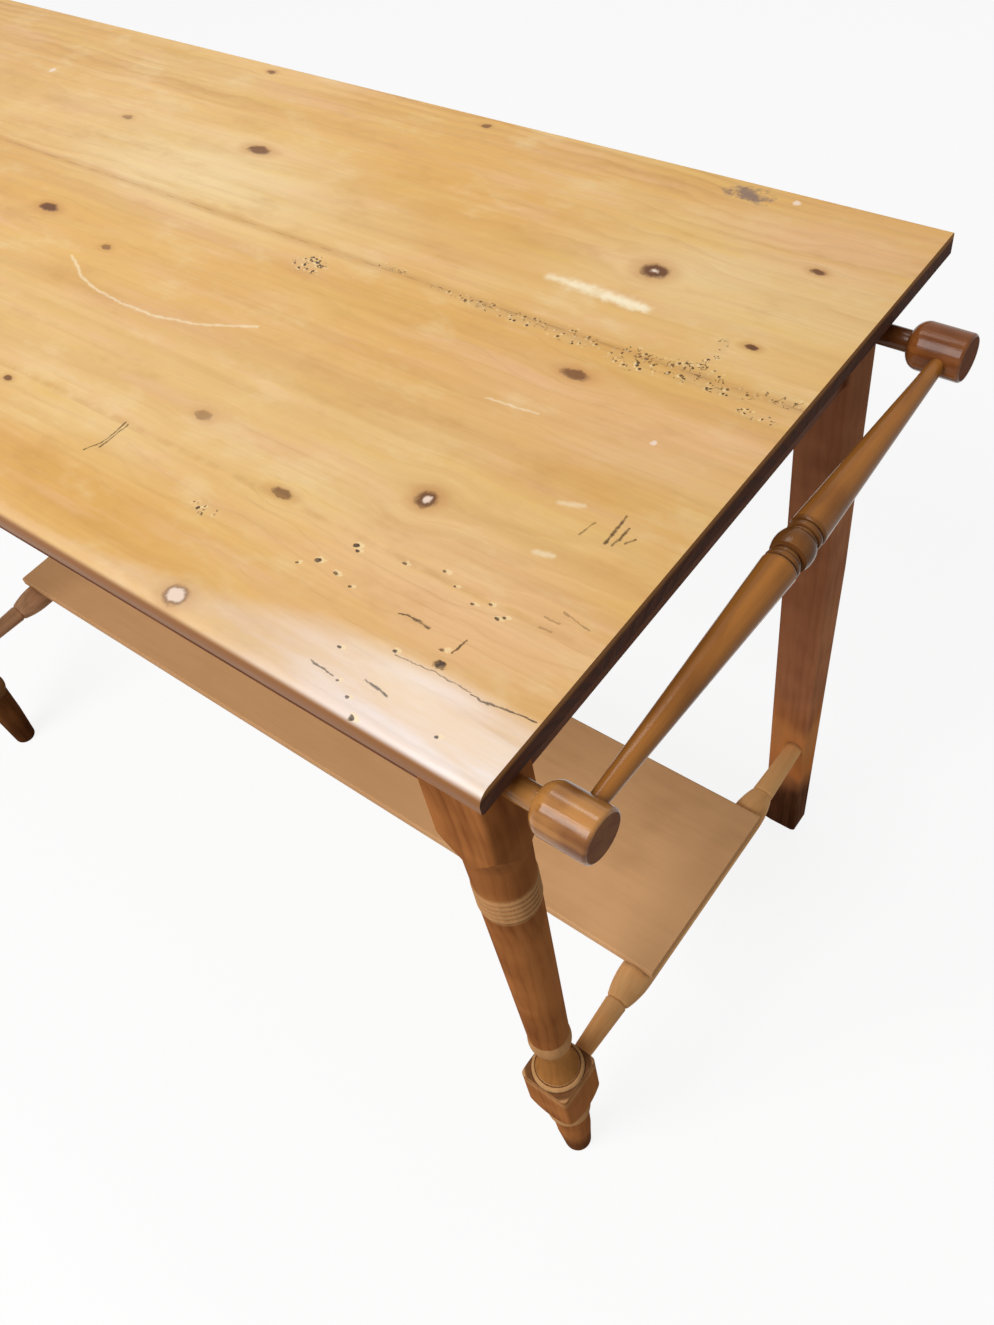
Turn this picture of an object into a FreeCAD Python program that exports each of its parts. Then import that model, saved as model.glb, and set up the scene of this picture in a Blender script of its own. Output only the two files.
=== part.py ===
import FreeCAD, Part
import os
import re
import Sketcher

# Driving dimensions of the side table, in millimetres
SIZES = {
    # Top of three boards laid lengthwise
    "height": 760,
    "top_length": 1220,
    "top_depth": 584,
    "top_thickness": 18,
    "front_board_width": 115,
    "back_board_width": 230,
    "front_round": 10,
    "under_round": 3,
    "back_round": 2,
    "dowel_diameter": 8,
    "dowel_length": 50,
    # Places of the legs under the top
    "right_overhang": 35,
    "left_overhang": 209,
    "front_overhang": 32,
    "back_overhang": 90,
    # Turned front legs
    "leg_stock": 50,
    "corner_round": 4,
    "foot_height": 138,
    "low_pommel": 42,
    "low_block": 31,
    "ledge_height": 8,
    "neck_height": 90,
    "ring_drop": 150,
    "ring_band": 31,
    "top_pommel": 48,
    "block_margin": 4,
    # Plain back legs, tapered in their lower part
    "back_stock": 46,
    "back_depth": 38,
    "back_shift": 7,
    "taper_drop": 290,
    "side_taper": 6,
    "rear_taper": 9,
    "foot_ease": 10,
    # Aprons and their tenons
    "apron_depth": 58,
    "apron_thickness": 20,
    "tenon_thickness": 10,
    "tenon_shoulder": 7,
    "tenon_web": 2,
    # Blocks and screws that hold the top
    "block_length": 60,
    "block_width": 22,
    "block_height": 26,
    "screw_diameter": 4,
    "screw_head": 8,
    "screw_point": 4,
    "top_screw_bite": 12,
    # Turned end stretchers and the shelf let into them
    "collar_diameter": 34.6,
    "stretcher_rise": 1,
    "stretcher_waist": 22.5,
    "stretcher_end": 17.5,
    "stretcher_tenon": 14,
    "seat_depth": 4.3,
    "shelf_overhang": 19,
    "shelf_width": 208,
    "shelf_thickness": 12,
    "shelf_round": 2,
    "shelf_screw_bite": 8,
    "shelf_screw_spread": 130,
    "screw_sink": 0.6,
    # Towel rail on two turned arms at the right end
    "arm_drop": 16,
    "arm_neck": 16.6,
    "arm_neck_length": 23,
    "arm_tenon": 14,
    "arm_head": 36,
    "arm_head_length": 44,
    "arm_shoulder": 10,
    "arm_ease": 2.5,
    "rail_inset": 16.5,
    "rail_diameter": 26,
    "rail_rings": 40,
    "ring_shift": 7,
    "rail_tenon": 12,
    "rail_socket": 12,
    "rail_lead": 2,
    # Clearances
    "fit_gap": 0.1,
    "running_gap": 0.05,
    "end_float": 0.3,
    "overrun": 5,
}

# Places worked out from the driving dimensions; X runs along the top, Y to the back, Z up from the floor
DERIVED = {
    "leg_height": "height - top_thickness",
    "arm_reach": "leg_stock / 2 + arm_neck_length + arm_head_length",
    "overall_length": "top_length + arm_reach - right_overhang",
    "top_left": "-overall_length / 2",
    "top_front": "-top_depth / 2",
    "middle_board_width": "top_depth - front_board_width - back_board_width",
    "leg_spacing": "top_length - left_overhang - right_overhang",
    "leg_depth_spacing": "top_depth - front_overhang - back_overhang",
    "leg_left": "top_left + left_overhang",
    "leg_right": "leg_left + leg_spacing",
    "leg_front": "top_front + front_overhang",
    "leg_back": "leg_front + leg_depth_spacing",
    "span_middle_x": "(leg_left + leg_right) / 2",
    "span_middle_y": "(leg_front + leg_back) / 2",
    "ring_height": "leg_height - ring_drop - ring_band",
    "top_block": "apron_depth + block_margin",
    "back_inner_stock": "back_stock + 2 * back_shift",
    "back_outer_stock": "back_stock - 2 * back_shift",
    "taper_height": "leg_height - taper_drop",
    "stretcher_height": "foot_height + low_pommel + stretcher_rise",
    "seat_height": "collar_diameter / 2 - seat_depth",
    "shelf_screw_drop": "collar_diameter / 2 - screw_sink",
    "shelf_underside": "stretcher_height + seat_height",
    "shelf_length": "leg_spacing + 2 * shelf_overhang",
    "arm_height": "leg_height - arm_drop",
    "rail_x": "leg_right + arm_reach - rail_inset",
    "apron_base": "leg_height - apron_depth",
    "tenon_depth": "apron_depth - 2 * tenon_shoulder",
    "tenon_inset": "tenon_thickness / 2 + tenon_web",
    "screw_bore": "screw_diameter + 2 * fit_gap",
    "top_screw_length": "block_height + top_screw_bite",
    "shelf_screw_length": "shelf_screw_drop + seat_height + shelf_screw_bite",
}

# Front leg outlines from the floor up: radius as a share of half the stock, height as a share of
# the stretch, and the radius of an arc as a share of its chord, positive where the arc swells
# and negative where it hollows
FOOT_SHARES = [
    (0.46, 0.00, 0),
    (0.56, 0.03, 1.1),
    (0.70, 0.40, 0),
    (0.75, 0.73, 0),
    (0.78, 0.76, 0),
    (0.78, 0.90, 1.1),
    (0.75, 0.92, 0),
    (0.84, 1.00, -1.0),
]
NECK_SHARES = [
    (0.98, 0.00, 0),
    (0.87, 0.06, 0.75),
    (0.82, 0.06, 0),
    (0.66, 0.66, -1.6),
    (0.70, 0.72, 0),
    (0.70, 0.97, 1.5),
    (0.68, 0.98, 0),
    (0.74, 1.00, 0),
]
SHAFT_TOP_SHARE = 0.915
RING_VALLEY_SHARE = 0.90
RING_BEND_SHARE = 0.75
RING_COUNT = 5
TOP_TURN_SHARE = 0.95
CUT_RADIUS_SHARE = 1.5
LOW_POMMEL_BEND_SHARE = 1.2
LEDGE_BEND_SHARE = 0.64
TOP_POMMEL_BEND_SHARE = 2.7

# Inset and corners of a back leg's eased foot, as shares of its ease and of the corner round
FOOT_INSET_SHARE = 0.45
FOOT_ROUND_SHARE = 0.6

# Stretcher outline beyond the shelf: places along the free span and sizes between waist and collar
COLLAR_END_SHARE = 0.32
COLLAR_NARROW_SHARE = 0.12
GROOVE_START_SHARE = 0.34
GROOVE_END_SHARE = 0.36
GROOVE_DEPTH_SHARE = 0.90
COLLAR_BEND_SHARE = 3.0

# Towel rail rings: radius as a share of half the rail, place as a share of half the ringed stretch
RAIL_RING_SHARES = [
    (1.02, 0.35, 0),
    (0.76, 0.39, 0),
    (0.74, 0.46, 0),
    (0.84, 0.48, 0),
    (0.84, 0.58, 1.0),
    (0.76, 0.60, 0),
    (0.92, 0.63, 0),
    (0.92, 0.83, 0.9),
    (0.80, 0.86, 0),
    (0.92, 0.89, 0),
    (1.00, 1.00, 0.9),
]
RAIL_BARREL_BEND_SHARE = 1.4

# Arcs of the towel arms and of a quarter round, as shares of their chords
ARM_SHOULDER_BEND_SHARE = 0.85
ARM_EASE_BEND_SHARE = 0.8
QUARTER_ROUND_SHARE = 0.5 ** 0.5

# Places of dowels along the top and of blocks along the leg spacing
DOWEL_SHARES = (0.06, 0.28, 0.50, 0.72, 0.94)
BLOCK_SHARES = (0.22, 0.78)

doc = FreeCAD.newDocument("side_table")
sheet = doc.addObject("Spreadsheet::Sheet", "sizes")
nodes = []


def fill_sheet():
    """Writes the driving dimensions as plain numbers and the derived ones as formulas."""
    cells = {name: str(number) for name, number in SIZES.items()}
    cells.update({name: "=" + formula for name, formula in DERIVED.items()})
    for row, (name, text) in enumerate(cells.items(), start=1):
        sheet.set(f"A{row}", name)
        sheet.set(f"B{row}", text)
        sheet.setAlias(f"B{row}", name)
    doc.recompute()


def value(formula):
    """Number that a formula of sheet names gives."""
    return float(sheet.evalExpression(formula))


def ref(formula):
    """The formula as other objects of the document read it."""
    return re.sub(r"\b([a-z][a-z_]*)\b(?!\()", r"sizes.\1", formula)


def new_body(label, place):
    """Body of one piece, standing at three formulas."""
    body = doc.addObject("PartDesign::Body", label)
    body.Label = label
    for axis, formula in zip("xyz", place):
        body.setExpression(f"Placement.Base.{axis}", ref(formula))
    return body


def sketch_on(body, role, shift=("0", "0", "0")):
    """Sketch on one of the body's own origin planes, shifted in that plane's own axes."""
    sketch = body.newObject("Sketcher::SketchObject", "outline")
    plane = next(feature for feature in body.Origin.OriginFeatures if feature.Role == role)
    sketch.AttachmentSupport = [(plane, "")]
    sketch.MapMode = "FlatFace"
    for axis, formula in zip("xyz", shift):
        sketch.setExpression(f"AttachmentOffset.Base.{axis}", ref(formula))
    return sketch


def arc_between(start, end, bend, swell):
    """Arc from start to end whose radius is a share of the chord; it swells along the swell direction."""
    chord = end - start
    radius = chord.Length * abs(bend)
    across = FreeCAD.Vector(-chord.y, chord.x, 0).normalize()
    if across.dot(swell) * bend > 0:
        across = -across
    rise = (radius ** 2 - (chord.Length / 2) ** 2) ** 0.5
    centre = (start + end) / 2 + across * rise
    circle = Part.Circle(centre, FreeCAD.Vector(0, 0, 1), radius)
    forward = (start - centre).cross(end - centre).z > 0
    ends = (start, end) if forward else (end, start)
    arc = Part.ArcOfCircle(circle, circle.parameter(ends[0]), circle.parameter(ends[1]))
    return arc, forward


def add_outline(sketch, steps, swell=FreeCAD.Vector(1, 0, 0)):
    """Closed outline through (x, y, bend) formula points, each one fixed by its two formulas."""
    points = [FreeCAD.Vector(value(x), value(y), 0) for x, y, bend in steps]
    travel = []
    for index, (x, y, bend) in enumerate(steps):
        start, end = points[index - 1], points[index]
        forward = True
        shape = Part.LineSegment(start, end)
        if bend:
            shape, forward = arc_between(start, end, bend, swell)
        curve = sketch.addGeometry(shape, False)
        travel.append((curve, 1, 2) if forward else (curve, 2, 1))
    for index, (x, y, bend) in enumerate(steps):
        curve, first, last = travel[index]
        following = travel[(index + 1) % len(steps)]
        sketch.addConstraint(Sketcher.Constraint("Coincident", curve, last, following[0], following[1]))
        for kind, formula, number in (("DistanceX", x, points[index].x), ("DistanceY", y, points[index].y)):
            fixed = sketch.addConstraint(Sketcher.Constraint(kind, -1, 1, curve, last, number))
            sketch.setExpression(f"Constraints[{fixed}]", ref(formula))
        if bend:
            before_x, before_y, before_bend = steps[index - 1]
            chord = f"sqrt(({x} - ({before_x}))^2 + ({y} - ({before_y}))^2)"
            radius = (points[index] - points[index - 1]).Length * abs(bend)
            fixed = sketch.addConstraint(Sketcher.Constraint("Radius", curve, radius))
            sketch.setExpression(f"Constraints[{fixed}]", ref(f"{chord} * {abs(bend)}"))


def add_rectangle(sketch, left, right, front, back):
    """Rectangle between four formulas."""
    add_outline(sketch, [(left, front, 0), (right, front, 0), (right, back, 0), (left, back, 0)])


def add_rounded(sketch, left, right, front, back, radius):
    """Rectangle between four formulas with its corners rounded."""
    add_outline(sketch, [
        (f"{right} - {radius}", front, 0),
        (right, f"{front} + {radius}", QUARTER_ROUND_SHARE),
        (right, f"{back} - {radius}", 0),
        (f"{right} - {radius}", back, QUARTER_ROUND_SHARE),
        (f"{left} + {radius}", back, 0),
        (left, f"{back} - {radius}", -QUARTER_ROUND_SHARE),
        (left, f"{front} + {radius}", 0),
        (f"{left} + {radius}", front, -QUARTER_ROUND_SHARE),
    ])


def add_circles(sketch, centres, diameter):
    """Circles of one diameter at formula centres."""
    for x, y in centres:
        centre = FreeCAD.Vector(value(x), value(y), 0)
        circle = Part.Circle(centre, FreeCAD.Vector(0, 0, 1), value(diameter) / 2)
        curve = sketch.addGeometry(circle, False)
        for kind, formula, number in (("DistanceX", x, centre.x), ("DistanceY", y, centre.y)):
            fixed = sketch.addConstraint(Sketcher.Constraint(kind, -1, 1, curve, 3, number))
            sketch.setExpression(f"Constraints[{fixed}]", ref(formula))
        fixed = sketch.addConstraint(Sketcher.Constraint("Diameter", curve, value(diameter)))
        sketch.setExpression(f"Constraints[{fixed}]", ref(diameter))


def pad(body, sketch, length):
    """Pad of a sketch along its plane's normal."""
    feature = body.newObject("PartDesign::Pad", "pad")
    feature.Profile = sketch
    feature.setExpression("Length", ref(length))
    doc.recompute()


def pocket(body, sketch, depth, along_normal=False):
    """Pocket against the plane's normal, or along it; it has to take wood away."""
    volume = body.Shape.Volume
    feature = body.newObject("PartDesign::Pocket", "pocket")
    feature.Profile = sketch
    feature.setExpression("Length", ref(depth))
    feature.Reversed = along_normal
    doc.recompute()
    if body.Shape.Volume >= volume:
        raise ValueError(f"a pocket in {body.Label} takes nothing away")


def loft(body, sketches):
    """Straight-sided loft through a row of sketches."""
    feature = body.newObject("PartDesign::AdditiveLoft", "taper")
    feature.Profile = sketches[0]
    feature.Sections = sketches[1:]
    feature.Ruled = True
    doc.recompute()


def revolve(body, sketch, axis="V_Axis"):
    """Solid of revolution about one of the sketch's own axes."""
    feature = body.newObject("PartDesign::Revolution", "turning")
    feature.Profile = sketch
    feature.ReferenceAxis = (sketch, [axis])
    doc.recompute()


def groove(body, sketch):
    """Turned cut about the sketch's upright axis; it has to take wood away."""
    volume = body.Shape.Volume
    feature = body.newObject("PartDesign::Groove", "turning")
    feature.Profile = sketch
    feature.ReferenceAxis = (sketch, ["V_Axis"])
    doc.recompute()
    if body.Shape.Volume >= volume:
        raise ValueError(f"a groove in {body.Label} takes nothing away")


def group(label, members):
    """One node of several like pieces."""
    compound = doc.addObject("Part::Compound", label)
    compound.Label = label
    compound.Links = members
    doc.recompute()
    nodes.append(compound)


def share_steps(shares, size, base, length):
    """Outline steps from a table of shares of a radius and of a stretch."""
    return [
        (f"{size} / 2 * {radius}", f"{base} + ({length}) * {place}", bend)
        for radius, place, bend in shares
    ]


def both_ways(front, back, waist_bend=0):
    """Turned outline along Y from two halves that run outwards, the front one to negative places."""
    bends = [bend for radius, place, bend in front][1:] + [0]
    steps = [(radius, f"-({place})", bend) for (radius, place, own), bend in zip(front, bends)]
    steps.reverse()
    radius, place, own = back[0]
    return steps + [(radius, place, waist_bend)] + back[1:]


def screw_steps(length, gap):
    """Half outline of a countersunk screw along -Y with its head at zero, widened by a gap."""
    shank = f"screw_diameter / 2 + {gap}"
    head = f"screw_head / 2 + {gap}"
    return [
        ("0", "0", 0),
        (head, "0", 0),
        (shank, f"-({head} - ({shank}))", 0),
        (shank, f"-({length} - screw_point)", 0),
        ("0", f"-({length})", 0),
    ]


def screw(label, place, length):
    """Countersunk wood screw whose head lies at a place and whose point looks up."""
    body = new_body(label, place)
    body.Placement.Rotation = FreeCAD.Rotation(FreeCAD.Vector(1, 0, 0), 180)
    sketch = sketch_on(body, "XZ_Plane")
    add_outline(sketch, screw_steps(length, "0"))
    revolve(body, sketch)
    return body


def screw_hole(body, y, z, length):
    """Bore and countersink of an upward screw whose head lies at a place of the body, open below it."""
    sketch = sketch_on(body, "XZ_Plane", ("0", z, f"-({y})"))
    steps = screw_steps(length, "fit_gap")[1:]
    head = steps[0][0]
    steps = [("0", "overrun", 0), (head, "overrun", 0)] + steps
    add_outline(sketch, [(across, f"-({along})", bend) for across, along, bend in steps])
    groove(body, sketch)


def block_places():
    """Name and centre of every block under the top, and whether it runs along X."""
    inset = "apron_thickness / 2 + block_width / 2"
    places = []
    for end, share in zip(("left", "right"), BLOCK_SHARES):
        x = f"leg_left + leg_spacing * {share}"
        places.append((f"glue_block_front_{end}", x, f"leg_front + {inset}", True))
        places.append((f"glue_block_back_{end}", x, f"leg_back - ({inset})", True))
    places.append(("glue_block_end_left", f"leg_left + {inset}", "span_middle_y", False))
    places.append(("glue_block_end_right", f"leg_right - ({inset})", "span_middle_y", False))
    return places


def top_board(label, front, width, steps, dowels_at):
    """Top board padded lengthwise from its end outline, bored for dowels and for the screws from below."""
    body = new_body(label, ("top_left", front, "leg_height"))
    sketch = sketch_on(body, "YZ_Plane")
    add_outline(sketch, steps, FreeCAD.Vector(-1, 0, 0))
    pad(body, sketch, "top_length")
    centres = [(f"top_length * {share}", "top_thickness / 2") for share in DOWEL_SHARES]
    for edge, backward in dowels_at:
        sketch = sketch_on(body, "XZ_Plane", ("0", "0", f"-({edge})"))
        add_circles(sketch, centres, "dowel_diameter + 2 * fit_gap")
        pocket(body, sketch, "dowel_length / 2 + fit_gap", backward)
    screws = [
        (f"{x} - top_left", f"{y} - ({front})")
        for name, x, y, along_x in block_places()
        if 0 < value(f"{y} - ({front})") < value(width)
    ]
    sketch = sketch_on(body, "XY_Plane")
    add_circles(sketch, screws, "screw_bore")
    pocket(body, sketch, "top_screw_bite + fit_gap", True)
    nodes.append(body)


def make_top():
    """Three boards with a worn front edge, the dowels in their two seams and the pilot bores below."""
    front_steps = [
        ("under_round", "0", QUARTER_ROUND_SHARE),
        ("front_board_width", "0", 0),
        ("front_board_width", "top_thickness", 0),
        ("front_round", "top_thickness", 0),
        ("0", "top_thickness - front_round", QUARTER_ROUND_SHARE),
        ("0", "under_round", 0),
    ]
    middle_steps = [
        ("0", "0", 0),
        ("middle_board_width", "0", 0),
        ("middle_board_width", "top_thickness", 0),
        ("0", "top_thickness", 0),
    ]
    back_steps = [
        ("0", "0", 0),
        ("back_board_width", "0", 0),
        ("back_board_width", "top_thickness - back_round", 0),
        ("back_board_width - back_round", "top_thickness", -QUARTER_ROUND_SHARE),
        ("0", "top_thickness", 0),
    ]
    seam_front = "top_front + front_board_width"
    seam_back = f"{seam_front} + middle_board_width"
    front_edge = ("0", False)
    top_board("top_board_front", "top_front", "front_board_width", front_steps,
              [("front_board_width", True)])
    top_board("top_board_middle", seam_front, "middle_board_width", middle_steps,
              [front_edge, ("middle_board_width", True)])
    top_board("top_board_back", seam_back, "back_board_width", back_steps,
              [front_edge])
    dowels = []
    for seam in (seam_front, seam_back):
        for share in DOWEL_SHARES:
            dowel = doc.addObject("Part::Cylinder", "dowel")
            dowel.setExpression("Radius", ref("dowel_diameter / 2"))
            dowel.setExpression("Height", ref("dowel_length"))
            dowel.Placement.Rotation = FreeCAD.Rotation(FreeCAD.Vector(1, 0, 0), -90)
            dowel.setExpression("Placement.Base.x", ref(f"top_left + top_length * {share}"))
            dowel.setExpression("Placement.Base.y", ref(f"{seam} - dowel_length / 2"))
            dowel.setExpression("Placement.Base.z", ref("leg_height + top_thickness / 2"))
            dowels.append(dowel)
    group("top_dowels", dowels)


def mortise(body, left, right, front, back):
    """Blind mortise for an apron's tenon, between four formulas in the leg's plan."""
    sketch = sketch_on(body, "XY_Plane", ("0", "0", "leg_height - tenon_shoulder + fit_gap"))
    add_rectangle(sketch, left, right, front, back)
    pocket(body, sketch, "tenon_depth + 2 * fit_gap")


def leg_joints(body, width, depth, outer, inward_y):
    """Mortises towards the two neighbouring aprons, the stretcher's socket and the towel arm's."""
    half_slot = "(tenon_thickness / 2 + fit_gap)"
    near = "(tenon_inset - fit_gap)"
    inner_x = sorted((f"{-outer} * {near}", f"{-outer} * ({width} / 2 + overrun)"), key=value)
    inner_y = sorted((f"{inward_y} * {near}", f"{inward_y} * ({depth} / 2 + overrun)"), key=value)
    mortise(body, inner_x[0], inner_x[1], f"-{half_slot}", half_slot)
    mortise(body, f"-{half_slot}", half_slot, inner_y[0], inner_y[1])
    sketch = sketch_on(body, "XZ_Plane", ("0", "0", f"{-inward_y} * {depth} / 2"))
    add_circles(sketch, [("0", "stretcher_height")], "stretcher_tenon + 2 * fit_gap")
    pocket(body, sketch, f"{depth} / 2 - tenon_inset + fit_gap", inward_y > 0)
    if outer > 0:
        sketch = sketch_on(body, "YZ_Plane", ("0", "0", f"{width} / 2"))
        add_circles(sketch, [("0", "arm_height")], "arm_tenon + 2 * fit_gap")
        pocket(body, sketch, f"{width} / 2 - tenon_inset + fit_gap")


def front_leg(label, x, outer):
    """Turned leg: square stock, turned foot, low block, ringed shaft and top block."""
    body = new_body(label, (x, "leg_front", "0"))
    sketch = sketch_on(body, "XY_Plane")
    face = "leg_stock / 2"
    add_rounded(sketch, f"-{face}", face, f"-{face}", face, "corner_round")
    pad(body, sketch, "leg_height")
    clear = f"leg_stock / 2 * {CUT_RADIUS_SHARE}"
    block_foot = "foot_height + low_pommel"
    block_head = f"{block_foot} + low_block"
    foot = share_steps(FOOT_SHARES, "leg_stock", "0", "foot_height")
    foot.append((clear, block_foot, LOW_POMMEL_BEND_SHARE))
    foot.append((clear, "0", 0))
    sketch = sketch_on(body, "XZ_Plane")
    add_outline(sketch, foot)
    groove(body, sketch)
    neck_foot = f"{block_head} + ledge_height"
    shaft = share_steps(NECK_SHARES, "leg_stock", neck_foot, "neck_height")
    shaft[0] = shaft[0][:2] + (LEDGE_BEND_SHARE,)
    shaft.append((f"leg_stock / 2 * {SHAFT_TOP_SHARE}", "ring_height", 0))
    valley = f"leg_stock / 2 * {RING_VALLEY_SHARE}"
    shaft.append((valley, "ring_height", 0))
    for ring in range(1, RING_COUNT + 1):
        shaft.append((valley, f"ring_height + ring_band * {ring / RING_COUNT}", RING_BEND_SHARE))
    shaft.append((f"leg_stock / 2 * {SHAFT_TOP_SHARE}", "ring_height + ring_band", 0))
    turn = f"leg_stock / 2 * {TOP_TURN_SHARE}"
    shaft.append((turn, "leg_height - top_block - top_pommel", 0))
    shaft.append((f"({turn} + {clear}) / 2", "leg_height - top_block - top_pommel / 2",
                  -TOP_POMMEL_BEND_SHARE))
    shaft.append((clear, "leg_height - top_block", TOP_POMMEL_BEND_SHARE))
    shaft.append((clear, block_head, 0))
    sketch = sketch_on(body, "XZ_Plane")
    add_outline(sketch, shaft)
    groove(body, sketch)
    leg_joints(body, "leg_stock", "leg_stock", outer, 1)
    nodes.append(body)


def post_section(body, outer, height, side, rear, inset, radius):
    """Section of a back leg at a height, cut back on its outer and rear faces and inset all round."""
    sketch = sketch_on(body, "XY_Plane", ("0", "0", height))
    inner_face = f"{-outer} * (back_inner_stock / 2 - {inset})"
    outer_face = f"{outer} * (back_outer_stock / 2 - {side} - {inset})"
    left, right = sorted((inner_face, outer_face), key=value)
    front = f"-(back_depth / 2 - {inset})"
    back = f"back_depth / 2 - {rear} - {inset}"
    add_rounded(sketch, left, right, front, back, radius)
    return sketch


def back_leg(label, x, outer):
    """Plain post, further in than its joints, that tapers on its outer and rear faces to an eased foot."""
    body = new_body(label, (x, "leg_back", "0"))
    whole = post_section(body, outer, "taper_height", "0", "0", "0", "corner_round")
    pad(body, whole, "taper_drop")
    small_round = f"corner_round * {FOOT_ROUND_SHARE}"
    inset = f"foot_ease * {FOOT_INSET_SHARE}"
    loft(body, [
        post_section(body, outer, "taper_height", "0", "0", "0", "corner_round"),
        post_section(body, outer, "foot_ease", "side_taper", "rear_taper", "0", small_round),
        post_section(body, outer, "0", "side_taper", "rear_taper", inset, small_round),
    ])
    leg_joints(body, "back_inner_stock", "back_depth", outer, -1)
    nodes.append(body)


def make_legs():
    """Two turned legs in front and two plain ones behind."""
    for end, x, outer in (("right", "leg_right", 1), ("left", "leg_left", -1)):
        front_leg(f"leg_front_{end}", x, outer)
        back_leg(f"leg_back_{end}", x, outer)


def apron(label, place, along_x, spacing, front_stock, back_stock):
    """Apron board with a tenon at each end, between two legs that stand a spacing apart."""
    body = new_body(label, place)
    board = (f"{spacing} / 2 - {front_stock} / 2", f"{spacing} / 2 - {back_stock} / 2")
    tenons = (f"{spacing} / 2 - tenon_inset", f"{spacing} / 2 - tenon_inset")
    for (front, back), half, base, rise in (
        (board, "apron_thickness / 2", "0", "apron_depth"),
        (tenons, "tenon_thickness / 2", "tenon_shoulder", "tenon_depth"),
    ):
        sketch = sketch_on(body, "XY_Plane", ("0", "0", base))
        ends = (f"-({front})", back)
        sides = (f"-{half}", half)
        add_rectangle(sketch, *(ends + sides if along_x else sides + ends))
        pad(body, sketch, rise)
    nodes.append(body)


def make_aprons():
    """Four aprons on the centre lines of the legs."""
    for side, stock in (("front", "leg_stock"), ("back", "back_inner_stock")):
        place = ("span_middle_x", f"leg_{side}", "apron_base")
        apron(f"apron_{side}", place, True, "leg_spacing", stock, stock)
    for end in ("right", "left"):
        place = (f"leg_{end}", "span_middle_y", "apron_base")
        apron(f"apron_end_{end}", place, False, "leg_depth_spacing", "leg_stock", "back_depth")


def make_blocks():
    """Blocks in the angle of apron and top, each with a screw up into the board above it."""
    screws = []
    for label, x, y, along_x in block_places():
        body = new_body(label, (x, y, "leg_height - block_height"))
        sketch = sketch_on(body, "XY_Plane")
        long_way = ("-block_length / 2", "block_length / 2")
        short_way = ("-block_width / 2", "block_width / 2")
        add_rectangle(sketch, *(long_way + short_way if along_x else short_way + long_way))
        pad(body, sketch, "block_height")
        screw_hole(body, "0", "0", "top_screw_length")
        nodes.append(body)
        screws.append(screw("top_screw", (x, y, "leg_height - block_height"), "top_screw_length"))
    group("top_screws", screws)


def half_stretcher(stock):
    """Half of a stretcher's outline from its middle to its tenon, for the leg that it enters."""
    seat = "shelf_width / 2"
    reach = f"(leg_depth_spacing / 2 - {stock} / 2)"
    tenon_end = "leg_depth_spacing / 2 - tenon_inset"
    span = f"({reach} - {seat})"
    narrow = f"(stretcher_waist / 2 + (collar_diameter - stretcher_waist) / 2 * {COLLAR_NARROW_SHARE})"
    return [
        ("collar_diameter / 2", seat, 0),
        (narrow, f"{seat} + {span} * {COLLAR_END_SHARE}", COLLAR_BEND_SHARE),
        (f"stretcher_waist / 2 * {GROOVE_DEPTH_SHARE}", f"{seat} + {span} * {GROOVE_START_SHARE}", 0),
        ("stretcher_waist / 2", f"{seat} + {span} * {GROOVE_END_SHARE}", 0),
        ("stretcher_end / 2", reach, 0),
        ("stretcher_tenon / 2", reach, 0),
        ("stretcher_tenon / 2", tenon_end, 0),
        ("0", tenon_end, 0),
    ]


def shelf_screw_ends():
    """Places of the shelf's screws along a stretcher."""
    return ("-shelf_screw_spread / 2", "shelf_screw_spread / 2")


def make_stretchers():
    """Turned stretchers between front and back legs, housed flat for the shelf and bored for its screws."""
    for end in ("right", "left"):
        body = new_body(f"stretcher_{end}", (f"leg_{end}", "span_middle_y", "stretcher_height"))
        sketch = sketch_on(body, "XY_Plane")
        add_outline(sketch, both_ways(half_stretcher("leg_stock"), half_stretcher("back_depth")))
        revolve(body, sketch)
        sketch = sketch_on(body, "XY_Plane", ("0", "0", "seat_height"))
        half_seat = "shelf_width / 2 + fit_gap"
        add_rectangle(sketch, "-collar_diameter", "collar_diameter", f"-({half_seat})", half_seat)
        pocket(body, sketch, "collar_diameter", True)
        for place in shelf_screw_ends():
            screw_hole(body, place, "-shelf_screw_drop", "shelf_screw_length")
        nodes.append(body)


def make_shelf():
    """Low shelf of one board with eased long edges, screwed from below through the stretchers."""
    body = new_body("shelf", ("span_middle_x", "span_middle_y", "shelf_underside"))
    sketch = sketch_on(body, "YZ_Plane", ("0", "0", "-shelf_length / 2"))
    add_rounded(sketch, "-shelf_width / 2", "shelf_width / 2", "0", "shelf_thickness", "shelf_round")
    pad(body, sketch, "shelf_length")
    bores = []
    screws = []
    for end in ("right", "left"):
        for place in shelf_screw_ends():
            bores.append((f"leg_{end} - span_middle_x", place))
            head = (f"leg_{end}", f"span_middle_y + {place}", "stretcher_height - shelf_screw_drop")
            screws.append(screw("shelf_screw", head, "shelf_screw_length"))
    sketch = sketch_on(body, "XY_Plane")
    add_circles(sketch, bores, "screw_bore")
    pocket(body, sketch, "shelf_screw_bite + fit_gap", True)
    nodes.append(body)
    group("shelf_screws", screws)


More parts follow.
